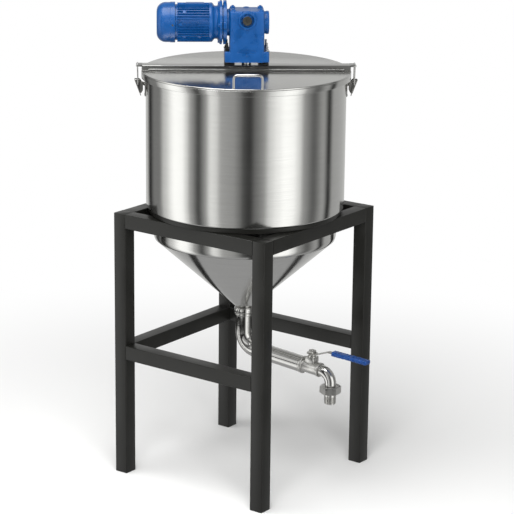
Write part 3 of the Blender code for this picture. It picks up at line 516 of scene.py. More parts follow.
def addBolt(made, place, across, height, washer=0.0):
    # hexagon head with a chamfered top, on a washer where it has one, standing on the place's XY plane
    chamfer = height * 0.16
    if washer:
        rim = across * 0.78
        addTurned(
            made, ((0.0, washer), (rim - 0.0003, washer), (rim, washer - 0.0003), (rim, 0.0), (0.0, 0.0)),
            24, place,
        )
    tall = height - chamfer
    spot = place @ at(0.0, 0.0, washer + tall / 2)
    radius = across / math.sqrt(3.0)
    verts = addPrism(made, radius, tall, spot)
    up = (place.to_3x3() @ Vector((0.0, 0.0, 1.0))).normalized()
    faces = dict.fromkeys(face for vert in verts for face in vert.link_faces)
    top = max(faces, key=lambda face: face.calc_center_median().dot(up))
    bmesh.ops.inset_individual(made, faces=[top], thickness=chamfer)
    bmesh.ops.translate(made, vec=up * chamfer, verts=list(top.verts))


def addScrewHead(made, place, radius, shoulder, foot, dome=0.0):
    # a low round head, soft at its shoulder
    bend = 0.0012
    profile = [(0.0, shoulder + dome)] + arc((radius - bend, shoulder - bend), bend, 90, 0, 3)
    addTurned(made, profile + [(radius, foot)], 20, place)


def carved(made, cutter, operation="DIFFERENCE"):
    # cuts one closed shape from another, or joins it on, and gives back the result
    pair = []
    for source in (made, cutter):
        bmesh.ops.recalc_face_normals(source, faces=source.faces)
        data = bpy.data.meshes.new("rough")
        source.to_mesh(data)
        source.free()
        pair.append(bpy.data.objects.new("rough", data))
        bpy.context.scene.collection.objects.link(pair[-1])
    cut = pair[0].modifiers.new("cut", "BOOLEAN")
    cut.object = pair[1]
    cut.operation = operation
    graph = bpy.context.evaluated_depsgraph_get()
    data = bpy.data.meshes.new_from_object(pair[0].evaluated_get(graph))
    for item in pair:
        bpy.data.objects.remove(item, do_unlink=True)
    result = shape()
    result.from_mesh(data)
    return result


def merged(made, *others):
    # puts the other shapes beside this one in one mesh
    for other in others:
        bmesh.ops.recalc_face_normals(other, faces=other.faces)
        data = bpy.data.meshes.new("rough")
        other.to_mesh(data)
        other.free()
        made.from_mesh(data)
    return made


def keepTurned(name, profile, sides, finish, nodes, place, ring=False):
    made = shape()
    addTurned(made, profile, sides, ring=ring)
    return keep(name, made, finish, nodes, place)


# Vessel, jacket and rim
vessel = {
    "vesselRadius": 0.315, "jacketRadius": 0.34, "rimRadius": 0.355, "sheet": 0.003, "jacketFloor": 0.957,
    "rimBottom": 1.403, "rimTop": 1.4227, "ringRadius": 0.332, "standTop": 0.94, "coneTop": 0.847,
    "coneSlope": 1.11, "coneTip": 0.5903, "coneSteps": 6, "sides": 256, "jacketRings": (1.3, 1.15, 1.02),
    "jacketCorner": 0.006, "wallRings": (1.2, 0.95), "curlFall": 0.015, "curlSweep": math.radians(70.0),
    "curlSteps": 7, "curlIn": 0.0048,
}


def makeTank():
    sizes = vessel
    sides = sizes["sides"]
    sheet = sizes["sheet"]
    outer = sizes["jacketRadius"]
    low = sizes["jacketFloor"]
    inner = sizes["vesselRadius"]

    corner = sizes["jacketCorner"]
    profile = [(outer, height) for height in (sizes["rimBottom"] - gap, *sizes["jacketRings"])]
    profile += arc((outer - corner, low + corner), corner, 0, -90, 5)
    profile += [(inner + gap, low), (inner + gap, low + sheet), (outer - corner, low + sheet)]
    profile += arc((outer - corner, low + corner), corner - sheet, -90, 0, 4)[1:]
    profile += [(outer - sheet, sizes["rimBottom"] - gap)]
    keepTurned("jacketShell", profile, sides, shellSteel, "jacket_wall jacket_floor", tankPlace, ring=True)

    top = sizes["rimTop"] - sheet - gap
    bottom = sizes["coneTop"] + gap
    fall, sweep, steps = sizes["curlFall"], sizes["curlSweep"], sizes["curlSteps"]
    wall = [(inner, height) for height in (top, *sizes["wallRings"], bottom + fall)]
    curl = []
    for step in range(1, steps + 1):
        angle = sweep * step / steps
        drop = math.sin(angle) / math.sin(sweep)
        curl.append((inner - sizes["curlIn"] * (1 - math.cos(angle)), bottom + fall * (1 - drop)))
    back = [(radius - sheet, height) for radius, height in reversed(wall + curl)]
    keepTurned("vesselShell", wall + curl + back, sides, shellSteel, "vessel_wall", tankPlace, ring=True)

    tip = sizes["coneTip"]
    wide = inner - 0.003
    narrow = wide - (sizes["coneTop"] - tip) * sizes["coneSlope"]
    steps = sizes["coneSteps"]
    outside = []
    for step in range(steps + 1):
        share = step / steps
        outside.append(
            (wide + (narrow - wide) * share, sizes["coneTop"] + (tip - sizes["coneTop"]) * share)
        )
    inside = [(radius - sheet, height) for radius, height in reversed(outside)]
    keepTurned("coneShell", outside + inside, sides, shellSteel, "vessel_cone", tankPlace, ring=True)

    # the support ring is painted charcoal: painted shade for the dark gap under the jacket's lower edge
    ring = sizes["ringRadius"]
    lowRing = sizes["standTop"] + gap
    highRing = low - gap
    profile = [
        (ring - 0.0015, highRing), (ring, highRing - 0.0015), (ring, lowRing + 0.0015),
        (ring - 0.0015, lowRing),
    ]
    profile += [(inner + gap, lowRing), (inner + gap, highRing)]
    keepTurned("supportRing", profile, sides, charcoalPaint, "support_ring", tankPlace, ring=True)

    # the rim's sheet is turned over the shell and stands a little off it at its lower edge
    rim = sizes["rimRadius"]
    top = sizes["rimTop"]
    low = sizes["rimBottom"]
    profile = arc((rim - 0.0032, top - 0.003), 0.003, 90, 0, 5) + arc(
        (rim - 0.0015, low + 0.0012), 0.0012, 0, -90, 4,
    )
    profile += [(rim - 0.0035, low + 0.0002), (rim - 0.004, low + 0.0045), (outer + 0.0015, low + 0.0045)]
    profile += [(outer + 0.0005, low), (outer - sheet, low)]
    profile += [(outer - sheet, top - sheet), (inner - sheet, top - sheet), (inner - sheet, top)]
    keepTurned("rimBand", profile, sides, shellSteel, "rim_band", tankPlace, ring=True)
    print("tank made")


makeTank()


# Half lids with a turned edge, and their bar handles
lidSizes = {
    "radius": 0.355, "thick": 0.005, "bottom": 1.423, "straight": 0.0265, "edge": 0.0022, "sides": 256,
    "handleWidth": 0.093, "handleShift": 0.0065, "handleHeight": 0.044, "rod": 0.004, "out": 0.343,
    "bend": 0.012,
}


def makeLids():
    sizes = lidSizes
    for side, word in ((-1, "front"), (1, "back")):
        made = shape()
        bmesh.ops.create_circle(made, cap_ends=True, segments=sizes["sides"], radius=sizes["radius"])
        bmesh.ops.bisect_plane(
            made, geom=made.verts[:] + made.edges[:] + made.faces[:],
            plane_co=(0.0, side * sizes["straight"], 0.0), plane_no=(0.0, -side, 0.0), clear_outer=True,
        )
        flat = bmesh.ops.extrude_face_region(made, geom=made.faces[:])["geom"]
        lifted = [item for item in flat if isinstance(item, bmesh.types.BMVert)]
        bmesh.ops.translate(made, vec=(0.0, 0.0, sizes["thick"]), verts=lifted)
        bmesh.ops.translate(made, vec=(0.0, 0.0, sizes["bottom"]), verts=made.verts)
        roundEdges(
            made, sizes["edge"], 3, 60.0,
            lambda edge: min(v.co.z for v in edge.verts) > sizes["bottom"] + 0.001,
        )
        keep(f"{word}LidSheet", made, lidSteel, f"{word}_lid", bridgePlace, body=f"{word}_lid")

        made = shape()
        left, right = [side * sizes["handleShift"] + end * sizes["handleWidth"] / 2 for end in (-1, 1)]
        foot = sizes["bottom"] + sizes["thick"] + gap
        top = sizes["bottom"] + sizes["thick"] + sizes["handleHeight"]
        out = side * sizes["out"]
        corners = ((left, out, foot), (left, out, top), (right, out, top), (right, out, foot))
        addBar(made, roundedPath(corners, sizes["bend"], 10), sizes["rod"], 24)
        for end in (left, right):
            addWeldRing(made, sizes["rod"], 0.0011, 0.0, 14, at(end, out, foot + 0.0011))
        keep(f"{word}HandleBar", made, wireSteel, f"{word}_handle", bridgePlace, body=f"{word}_lid")
    print("lids made")


makeLids()


# Bridge: a folded channel with narrowed tongues, and a knuckle hinge along each side
bridge = {
    "half": 0.353, "depth": 0.05, "bottom": 1.423, "top": 1.445, "reach": 0.372, "tongueWidth": 0.028,
    "tongueThick": 0.004, "earInner": 0.021, "bend": 0.0024, "bore": 0.017, "hingeOut": 0.0281,
    "hingeHeight": 1.4318, "hingeRod": 0.0019, "hingeLength": 0.66, "knuckle": 0.03, "leaf": 0.001,
    "leafDrop": 0.004,
}


def makeBridge():
    sizes = bridge
    made = shape()
    height = sizes["top"] - sizes["bottom"]
    addBox(made, (2 * sizes["half"], sizes["depth"], height), (0.0, 0.0, sizes["bottom"] + height / 2))
    roundEdges(made, sizes["bend"], 4)
    bore = shape()
    addRod(bore, sizes["bore"], 0.1, (0.0, 0.0, sizes["top"]), "z", 48)
    made = carved(made, bore)
    tongues = shape()
    for end in (-1, 1):
        length = sizes["reach"] - sizes["half"] + sizes["bend"]
        middle = (end * (sizes["reach"] - length / 2), 0.0, sizes["top"] - sizes["tongueThick"] / 2)
        addBox(tongues, (length, sizes["tongueWidth"], sizes["tongueThick"]), middle)
    roundEdges(tongues, softEdge)
    made = merged(made, tongues)
    # ears beside the wires, with their far corners cut off
    ears = shape()
    for end in (-1, 1):
        for side in (-1, 1):
            inner, outer = side * sizes["earInner"], side * sizes["depth"] / 2
            near, far = end * (sizes["half"] - sizes["bend"]), end * (sizes["reach"] - 0.0002)
            corner = [
                (near, inner), (far, inner), (far, outer - side * 0.0025), (far - end * 0.006, outer),
                (near, outer),
            ]
            place = at(0.0, 0.0, sizes["top"] - sizes["tongueThick"] / 2 - 0.0003)
            addPlate(ears, corner, sizes["tongueThick"], place)
    made = merged(made, ears)
    nodes = "bridge_beam bridge_tip_left bridge_tip_right"
    keep("bridgeChannel", made, mirrorSteel, nodes, bridgePlace, turnOut=False)

    made = shape()
    count = int(sizes["hingeLength"] / sizes["knuckle"])
    rod = sizes["hingeRod"]
    for side in (-1, 1):
        for number in range(count):
            middle = (number + 0.5) * sizes["knuckle"] - count * sizes["knuckle"] / 2
            place = at(middle, side * sizes["hingeOut"], sizes["hingeHeight"]) @ towards["x"]
            half = sizes["knuckle"] / 2 - 0.0002
            profile = [(0.0, half), (rod - 0.0003, half), (rod, half - 0.0003), (rod, -half + 0.0003)]
            profile += [(rod - 0.0003, -half), (0.0, -half)]
            addTurned(made, profile, 16, place)
        leafHigh = sizes["hingeHeight"] + rod
        leafMiddle = (
            0.0, side * (sizes["depth"] + sizes["leaf"]) / 2, leafHigh - (rod + sizes["leafDrop"]) / 2,
        )
        addBox(made, (sizes["hingeLength"], sizes["leaf"], rod + sizes["leafDrop"]), leafMiddle)
    keep("bridgeHinges", made, hingeSteel, "", bridgePlace)
    print("bridge made")


makeBridge()


# Stand of square tube, with rounded corners
stand = {"side": 0.64, "height": 0.94, "tube": 0.05, "railTop": 0.47, "round": 0.0028, "cope": 0.316}


def makeStand():
    sizes = stand
    tube = sizes["tube"]
    middle = (sizes["side"] - tube) / 2
    span = sizes["side"] - 2 * tube - 2 * gap
    for sideX, wordX in ((-1, "left"), (1, "right")):
        for sideY, wordY in ((-1, "front"), (1, "back")):
            made = shape()
            addBox(
                made, (tube, tube, sizes["height"]), (sideX * middle, sideY * middle, sizes["height"] / 2),
            )
            roundEdges(made, sizes["round"], 4, only=runs("z", 0.5))
            roundEdges(made, 0.001, 2, 60.0)
            name = f"leg_{wordY}_{wordX}"
            keep(f"{wordY}{wordX.title()}Leg", made, charcoalPaint, name, tankPlace)
    sides = {"front": (0, -1), "back": (0, 1), "left": (-1, 0), "right": (1, 0)}
    for word, (sideX, sideY) in sides.items():
        size = (tube, span, tube) if sideX else (span, tube, tube)
        place = (sideX * middle, sideY * middle)
        long = "y" if sideX else "x"
        made = shape()
        addBox(made, size, (*place, sizes["height"] - tube / 2))
        roundEdges(made, sizes["round"], 4, only=runs(long, 0.3))
        cope = shape()
        addRod(cope, sizes["cope"], 0.2, (0.0, 0.0, sizes["height"]), "z", 256)
        made = carved(made, cope)
        keep(f"{word}TopBeam", made, charcoalPaint, f"top_beam_{word}", tankPlace, turnOut=False)
        if word != "front":
            made = shape()
            addBox(made, size, (*place, sizes["railTop"] - tube / 2))
            roundEdges(
                made, sizes["round"], 4, only=runs(long, 0.3)
            )
            name = f"lower_rail_{word}"
            keep(f"{word}LowerRail", made, charcoalPaint, name, tankPlace)
    print("stand made")


makeStand()

# Worm gearbox: ribbed casting on two feet, with its bosses, screws and studs
gearbox = {
    "bottom": 1.46, "top": 1.632, "width": 0.116, "depth": 0.104, "corner": 0.006, "topRound": 0.004,
    "baseWidth": 0.15, "baseHeight": 0.037, "wormHeight": 1.588, "bossHeight": 1.602, "bossRadius": 0.03,
    "bossOut": 0.006, "neckRadius": 0.045, "neckEnd": 0.0669, "slotWidth": 0.0052, "slotPitch": 0.0108,
    "slotLow": 1.493, "slotHigh": 1.545, "slotDeep": 0.014, "slots": 6, "windowDeep": 0.0015,
    "ledge": (0.056, 0.005, 0.011), "padSize": (0.017, 0.022, 0.0045), "padPlace": (0.0465, 0.038),
    "studPlace": (0.0665, 0.036), "footIn": 0.04, "footOut": 0.075, "footPlate": 0.006, "footDeep": 0.048,
    "spacerOut": 0.066, "spacerBack": 0.014, "spacer": 0.009, "plugRadius": 0.0155, "coverRadius": 0.039,
    "coverThick": 0.017, "notches": (-0.0135, 0.0, 0.0105), "notchSize": (0.005, 0.012, 0.04),
    "ribOut": 0.026, "ribSize": (0.004, 0.007, 0.025), "ribHeight": 1.5625,
    "screws": ((0.0, 1.565), (0.0, 1.484), (-0.052, 1.57), (-0.045, 1.531), (0.052, 1.545)), "stud": 0.0038,
    "studLength": 0.03, "coverScrewRing": 0.031,
}


def makeGearbox():
    sizes = gearbox
    low, high = sizes["bottom"], sizes["top"]
    half = sizes["depth"] / 2
    made = shape()
    addBox(made, (sizes["width"], sizes["depth"], high - low), (0.0, 0.0, (low + high) / 2))
    roundEdges(made, sizes["corner"], 4, only=runs("z", 0.1))
    roundEdges(
        made, sizes["topRound"], 3, 60.0, lambda edge: min(vert.co.z for vert in edge.verts) > high - 0.001,
    )
    # slots in a shallow window, front and back
    cutter = shape()
    slotTall = sizes["slotHigh"] - sizes["slotLow"]
    slotMiddle = (sizes["slotLow"] + sizes["slotHigh"]) / 2
    slots = sizes["slots"]
    for side in (-1, 1):
        for number in range(slots):
            middle = ((number - slots / 2 + 0.5) * sizes["slotPitch"], side * half, slotMiddle)
            addBox(cutter, (sizes["slotWidth"], 2 * sizes["slotDeep"], slotTall), middle)
        window = (slots * sizes["slotPitch"] + 0.002, 2 * sizes["windowDeep"], slotTall + 0.006)
        addBox(cutter, window, (0.0, side * half, slotMiddle))
        if side < 0:
            for across in sizes["notches"]:
                addBox(cutter, sizes["notchSize"], (across, -half, high))
    made = carved(made, cutter)
    base = shape()
    addBox(
        base, (sizes["baseWidth"], sizes["depth"] - 0.001, sizes["baseHeight"]),
        (0.0, 0.0, low + sizes["baseHeight"] / 2 - 0.0005),
    )
    roundEdges(base, 0.004, 3)
    made = carved(made, base, "UNION")
    cutter = shape()
    wide, deep, tall = sizes["ledge"]
    for side in (-1, 1):
        addBox(cutter, (wide, 2 * deep, tall), (0.0, side * half, sizes["slotLow"] + tall / 2 - 0.001))
    addRod(cutter, sizes["spacer"] + 0.0075, 0.03, (0.0, 0.0, low), "z", 48)
    made = carved(made, cutter)

    trim = shape()
    out = half + sizes["bossOut"]
    for side in (-1, 1):
        place = at(0.0, 0.0, sizes["bossHeight"]) @ turnBy(-90 * side, "X")
        profile = [(0.0, out), (0.0158, out), (0.0164, out - 0.006), (0.0228, out - 0.006), (0.0235, out)]
        profile += arc((sizes["bossRadius"] - 0.0015, out - 0.0015), 0.0015, 90, 0, 3)
        profile += [(sizes["bossRadius"], half - 0.003), (sizes["bossRadius"] + 0.002, half - 0.004)]
        addTurned(trim, profile, roundSides, place)
        for across in (-sizes["ribOut"], sizes["ribOut"]):
            addBox(trim, sizes["ribSize"], (across, side * half, sizes["ribHeight"]))
    place = at(0.0, 0.0, sizes["wormHeight"]) @ turnBy(-90, "Y")
    neck = [
        (sizes["neckRadius"], sizes["neckEnd"]), (sizes["neckRadius"], 0.061),
        (sizes["neckRadius"] + 0.003, 0.0575),
    ]
    addTurned(trim, [(0.0, sizes["neckEnd"])] + neck, roundSides, place)
    wide, deep, tall = sizes["padSize"]
    pads = shape()
    for across in (-1, 1):
        for side in (-1, 1):
            spot = (across * sizes["padPlace"][0], side * sizes["padPlace"][1], high + tall / 2 - 0.0005)
            addBox(pads, (wide, deep, tall), spot)
    roundEdges(pads, 0.0015)
    made = merged(made, trim, pads)
    keep("gearboxCasting", made, bluePaint, "gearbox_housing", bridgePlace, turnOut=False)

    # painted screws on the faces and pads
    made = shape()
    for side in (-1, 1):
        face = turnBy(-90 * side, "X")
        for across, height in sizes["screws"]:
            place = at(across, side * half, height) @ face
            addScrewHead(made, place, 0.0042, 0.0024, -0.001, 0.0002)
        for across in (-1, 1):
            spot = (across * sizes["padPlace"][0], side * sizes["padPlace"][1], high + tall - 0.0005)
            addBolt(made, Matrix.Translation(spot), 0.008, 0.004)
    keep("gearboxScrews", made, bluePaint, "", bridgePlace)

    # studs that hold the box down: the right pair is zinc, the left pair is painted charcoal as painted
    # shade
    for word, across, finish in (("left", -1, charcoalPaint), ("right", 1, screwZinc)):
        made = shape()
        for side in (-1, 1):
            spot = (
                across * sizes["studPlace"][0], side * sizes["studPlace"][1],
                low + sizes["baseHeight"] - 0.0005,
            )
            addBolt(made, Matrix.Translation(spot), 0.013, 0.0065, 0.0015)
            addRod(made, sizes["stud"], sizes["studLength"], (spot[0], spot[1], spot[2] + 0.013), "z", 20)
        keep(f"{word}Studs", made, finish, "", bridgePlace)

    # feet: a plate on the bridge, and spacers that carry the box
    bridgeTop = bridge["top"] + gap
    foot = low - 0.0005 - gap - bridgeTop
    for word, side in (("left", -1), ("right", 1)):
        made = shape()
        middle = side * (sizes["footIn"] + sizes["footOut"]) / 2
        wide = sizes["footOut"] - sizes["footIn"]
        addBox(
            made, (wide, sizes["footDeep"], sizes["footPlate"]),
            (middle, 0.0, bridgeTop + sizes["footPlate"] / 2),
        )
        roundEdges(made, softEdge)
        for back in (-sizes["spacerBack"], sizes["spacerBack"]):
            tall = foot - sizes["footPlate"]
            spot = (side * sizes["spacerOut"], back, bridgeTop + sizes["footPlate"] + tall / 2)
            addRod(made, sizes["spacer"], tall, spot)
        keep(f"{word}GearboxFoot", made, charcoalPaint, f"gearbox_foot_{word}", bridgePlace)

    # plug with a hexagon socket in the front boss
    made = shape()
    place = at(0.0, -out - gap, sizes["bossHeight"]) @ turnBy(90, "X")
    plug = sizes["plugRadius"]
    profile = [
        (0.0, 0.0037), (0.01, 0.0037), (0.0106, 0.004), (plug - 0.001, 0.004), (plug, 0.003), (plug, 0.0),
        (0.0, 0.0),
    ]
    addTurned(made, profile, 48, place)
    socket = shape()
    spot = place @ at(0.0, 0.0, 0.0035)
    addPrism(socket, 0.0062, 0.005, spot)
    made = carved(made, socket)
    keep("bossPlug", made, blackPlastic, "oil_plug", bridgePlace, turnOut=False)

    # round cover over the worm's free end, with a lip and four screws
    made = shape()
    place = at(sizes["width"] / 2, 0.0, sizes["wormHeight"]) @ towards["x"]
    cover, thick = sizes["coverRadius"], sizes["coverThick"]
    profile = [
        (0.0, thick - 0.0015), (0.011, thick - 0.0015), (0.0115, thick), (0.016, thick),
        (0.0165, thick - 0.002),
    ]
    profile += [(0.024, thick - 0.002), (0.025, thick - 0.0005), (cover - 0.003, thick - 0.0005)]
    profile += arc((cover - 0.003, thick - 0.0035), 0.003, 90, 0, 4)[1:]
    profile += [(cover, 0.007), (cover - 0.001, 0.0062), (cover - 0.001, gap), (0.0, gap)]
    addTurned(made, profile, roundSides, place)
    keep("wormCoverCasting", made, bluePaint, "worm_cover", bridgePlace)
    made = shape()
    for number in range(4):
        turn = turnBy(45.0 + 90.0 * number, "Z")
        spot = place @ turn @ at(sizes["coverScrewRing"], 0.0, thick - 0.0062)
        addRod(made, 0.0042, 0.0055, spot @ Vector((0.0, 0.0, 0.003)), "x", 24)
    keep("wormCoverScrews", made, screwZinc, "", bridgePlace)
    print("gearbox made")


makeGearbox()


# Motor: bolted flanges, bell, finned core, fan cover and terminal box
motor = {
    "height": 1.588, "flangeNear": 0.0673, "flangeFar": 0.099, "flange": 0.07, "ear": 0.0735,
    "earWide": 0.024, "split": 0.083, "lip": 0.091, "throat": 0.058, "waist": 0.0555, "bellStart": 0.1075,
    "bellEnd": 0.1235, "coreRadius": 0.058, "finRadius": 0.066, "finStart": 0.125, "groove": 0.007,
    "end": 0.24, "fins": 40, "finThick": 0.0028, "coverRadius": 0.068, "coverEnd": 0.3025,
    "coverRound": 0.03, "boxOut": 0.184, "boxWide": 0.08, "boxBack": 0.109,
    "bosses": ((-50.0, 0.21), (-88.0, 0.223), (-130.5, 0.21), (-130.5, 0.16), (62.0, 0.226)),
    "topGap": 15.0, "backGap": 39.0, "mouth": 0.034, "grilleRings": (0.009, 0.017, 0.025), "fanBlades": 7,
    "earDeep": 0.012,
}
motorPlace = bridgePlace @ at(0.0, 0.0, motor["height"]) @ turnBy(-90, "Y")


def makeMotor():
    # turned pieces stand on the motor's own axis: Z runs away from the gearbox, X up and Y to the back
    sizes = motor
    near, far = sizes["flangeNear"], sizes["flangeFar"]
    flange, split, lip = sizes["flange"], sizes["split"], sizes["lip"]
    made = shape()
    profile = [(0.0, far), (sizes["throat"], far), (flange - 0.003, lip + 0.0012), (flange - 0.0006, lip)]
    profile += [
        (flange, lip - 0.0015), (flange, split + 0.0006), (flange - 0.001, split), (0.058, split),
        (0.058, split - 0.0035),
    ]
    profile += [
        (0.0655, split - 0.0035), (0.0663, split - 0.0043), (0.0663, near + 0.0015), (0.065, near),
        (0.0, near),
    ]
    addTurned(made, profile, fineSides)
    ears = shape()
    for number in range(4):
        turn = turnBy(90 * number, "Z")
        for start, end in ((near + 0.001, split - 0.004), (split + 0.0005, lip)):
            lug = shape()
            deep = sizes["earDeep"]
            addBox(
                lug, (deep, sizes["earWide"], end - start),
                (sizes["ear"] - deep / 2, 0.0, (start + end) / 2),
            )
            roundEdges(lug, 0.0036, 4, only=runs("z", 0.004))
            roundEdges(lug, 0.0008, 2, 60.0)
            bmesh.ops.transform(lug, matrix=turn, verts=lug.verts)
            ears = merged(ears, lug)
    made = merged(made, ears)
    keep("drivenFlange", made, bluePaint, "input_flange", motorPlace)

    made = shape()
    for number in range(4):
        turn = turnBy(90 * number, "Z")
        ring = turn @ at(sizes["ear"] - 0.009, 0.0, 0.0)
        addBolt(made, ring @ at(0.0, 0.0, lip), 0.0105, 0.0055, 0.001)
    keep("flangeBolts", made, bluePaint, "", motorPlace)

    made = shape()
    core, fin, end, start = sizes["coreRadius"], sizes["finRadius"], sizes["end"], sizes["finStart"]
    bell, waist = sizes["bellEnd"], sizes["waist"]
    profile = [
        (0.0, end), (0.06, end), (0.06, end - sizes["groove"]), (core, end - sizes["groove"] - 0.001),
    ]
    profile += [(core, start + 0.003), (fin - 0.0012, start + 0.002), (fin, start), (fin, bell - 0.001)]
    profile += arc((fin - 0.007, bell - 0.0035), 0.007, -5, -55, 4)
    profile += [
        (waist + 0.0012, sizes["bellStart"] + 0.0025), (waist, sizes["bellStart"]), (waist, far + gap),
        (0.0, far + gap),
    ]
    addTurned(made, profile, fineSides)
    fins = shape()
    count = sizes["fins"]
    long = end - sizes["groove"] - start
    for number in range(count):
        angle = 360.0 * number / count  # from the top, toward the back
        fromTop = min(angle, 360.0 - angle)
        if fromTop < sizes["topGap"] or abs(angle - 90.0) < sizes["backGap"]:
            continue
        turn = turnBy(angle, "Z")
        deep = fin - core + 0.002
        spot = turn @ Vector((fin - deep / 2, 0.0, start + long / 2))
        verts = addBox(fins, (deep, sizes["finThick"], long), spot, turn)
        outer = [vert for vert in verts if vert.co.xy.length > fin - 0.002]
        for vert in outer:
            across = turn.to_3x3() @ Vector((0.0, 1.0, 0.0))
            vert.co -= across * across.dot(vert.co - spot) * 0.38
    pads = shape()
    addBox(pads, (0.01, 0.03, 0.06), (fin - 0.0055, 0.0, 0.174))
    for angle, along in sizes["bosses"]:
        turn = turnBy(angle, "Z")
        spot = turn @ at(fin - 0.0045, 0.0, along) @ towards["x"]
        addPrism(pads, 0.0058, 0.0088, spot, 20, 0.0054)
    made = merged(made, fins, pads)
    keep("motorCasting", made, bluePaint, "motor_body", motorPlace)
    makeFanCover()
    makeTerminalBox()
    print("motor made")


def makeFanCover():
    sizes = motor
    outer, last, bend = sizes["coverRadius"], sizes["coverEnd"], sizes["coverRound"]
    start = sizes["end"] + gap
    mouth = sizes["mouth"]
    made = shape()
    side = outer - 0.0012
    curve = arc((side - bend, last - bend), bend, 90, 0, 12)
    profile = [(mouth, last - 0.002), (mouth + 0.001, last - 0.0004), (mouth + 0.003, last)] + curve
    profile += [
        (side, start + 0.017), (outer, start + 0.016), (outer, start + 0.001), (outer - 0.001, start),
    ]
    profile += [(outer - 0.003, start), (outer - 0.003, start + 0.016)]
    profile += [
        (radius - 0.0015, height) for radius, height in reversed(
            arc((side - bend, last - bend - 0.0015), bend, 90, 0, 8)
        )
    ]
    profile += [(mouth, last - 0.0035)]
    addTurned(made, profile, fineSides, ring=True)
    # grille: rings on spokes
    grid = shape()
    for ring in sizes["grilleRings"]:
        loop = arc((ring, last - 0.0022), 0.0011, 0, 315, 7)
        addTurned(grid, loop, 48, ring=True)
    for number in range(6):
        turn = turnBy(60.0 * number, "Z")
        addBox(
            grid, (mouth + 0.001 - 0.004, 0.0022, 0.0014),
            turn @ Vector(((mouth + 0.005) / 2, 0.0, last - 0.0031)), turn,
        )
    addTurned(
        grid,
        [
            (0.0, last - 0.0008), (0.0045, last - 0.0008), (0.0055, last - 0.002), (0.0055, last - 0.0036),
            (0.0, last - 0.0036),
        ],
        32,
    )
    made = merged(made, grid)
    keep("fanCoverSheet", made, bluePaint, "fan_cover", motorPlace)

    # fan and shaft end behind the grille
    made = shape()
    addTurned(
        made,
        [
            (0.0, last - 0.006), (0.007, last - 0.006), (0.008, last - 0.007), (0.014, last - 0.012),
            (0.016, last - 0.024), (0.0, last - 0.024),
        ],
        32,
    )
    for number in range(sizes["fanBlades"]):
        turn = turnBy(360 * number / sizes["fanBlades"], "Z")
        addBox(made, (0.044, 0.0018, 0.02), turn @ Vector((0.036, 0.0, last - 0.02)), turn)
    addTurned(
        made, [(0.0, last - 0.03), (0.06, last - 0.03), (0.06, last - 0.033), (0.0, last - 0.033)], 48,
    )
    keep("motorFan", made, blackPlastic, "", motorPlace)

    made = shape()
    for number in range(4):
        turn = turnBy(90.0 * number, "Z")
        spot = turn @ at(outer - 0.0006, 0.0, start + 0.0085) @ towards["x"]
        addScrewHead(made, spot, 0.0042, 0.0006, -0.002)
    keep("fanCoverScrews", made, screwZinc, "", motorPlace)


def makeTerminalBox():
    sizes = motor
    wide = sizes["boxWide"]
    middle = sizes["boxOut"]
    back = sizes["boxBack"]
    made = shape()
    base = back - 0.0165
    addBox(made, (wide - 0.004, base - 0.047, wide - 0.004), (0.0, (base + 0.047) / 2, middle))
    roundEdges(made, 0.005, 3, only=runs("y", 0.02))
    cover = shape()
    addBox(cover, (wide, 0.0155, wide), (0.0, back - 0.00775, middle))
    roundEdges(cover, 0.005, 3)
    entry = shape()
    spot = at(-wide / 2 + 0.006, base - 0.016, middle) @ towards["x"]
    addPrism(entry, 0.0145, 0.012, spot, 32)
    made = merged(made, cover, entry)
    keep("terminalCasting", made, bluePaint, "terminal_box", motorPlace)
    made = shape()
    for across in (-1, 1):
        for along in (-1, 1):
            spot = at(across * (wide / 2 - 0.008), back - 0.0008, middle + along * (wide / 2 - 0.008))
            spot = spot @ towards["y"]
            addTurned(made, [(0.0, 0.0008), (0.0025, 0.0008), (0.0036, 0.0), (0.0036, -0.002)], 20, spot)
    keep("terminalScrews", made, screwZinc, "", motorPlace)
    made = shape()
    spot = at(-wide / 2 + 0.0005, base - 0.016, middle) @ turnBy(-90, "Y")
    addBolt(made, spot, 0.018, 0.005, 0.0015)
    keep("terminalPlug", made, blackPlastic, "", motorPlace)


makeMotor()


# Drain: collar, bent pipe, lever valve, outlet elbow, union nut and threaded nipple
drain = {
    "pitch": math.radians(4.0), "pipeRadius": 0.0285, "corner": 0.448, "bend": 0.056, "collarTop": 0.59,
    "collarBottom": 0.561, "valveOut": 0.29, "valveHalf": 0.04, "valveRadius": 0.023, "ring": 0.03,
    "outletOut": 0.371, "outletRadius": 0.0195, "outletBend": 0.038, "nutAcross": 0.064,
    "nutTurn": math.radians(37.0), "nutTop": 0.378, "nutBottom": 0.352, "nippleRadius": 0.0202,
    "nippleBottom": 0.3135, "bore": 0.0155, "thread": 0.0023, "leverLift": 0.048, "leverRise": 0.024,
    "armThick": 0.003, "armWidth": 0.02, "heel": 0.014, "knee": 0.016, "crest": 0.067,
    "gripTilt": math.radians(2.1), "gripStart": 0.018, "gripLength": 0.143, "gripWidth": 0.03,
    "gripThick": 0.016, "gripEnd": 0.012,
}


def drainHeight(out):
    return drain["corner"] - out * math.tan(drain["pitch"])


valvePlace = tankPlace @ at(0.0, -drain["valveOut"], drainHeight(drain["valveOut"]))
valvePlace = valvePlace @ Matrix.Rotation(drain["pitch"], 4, "X")


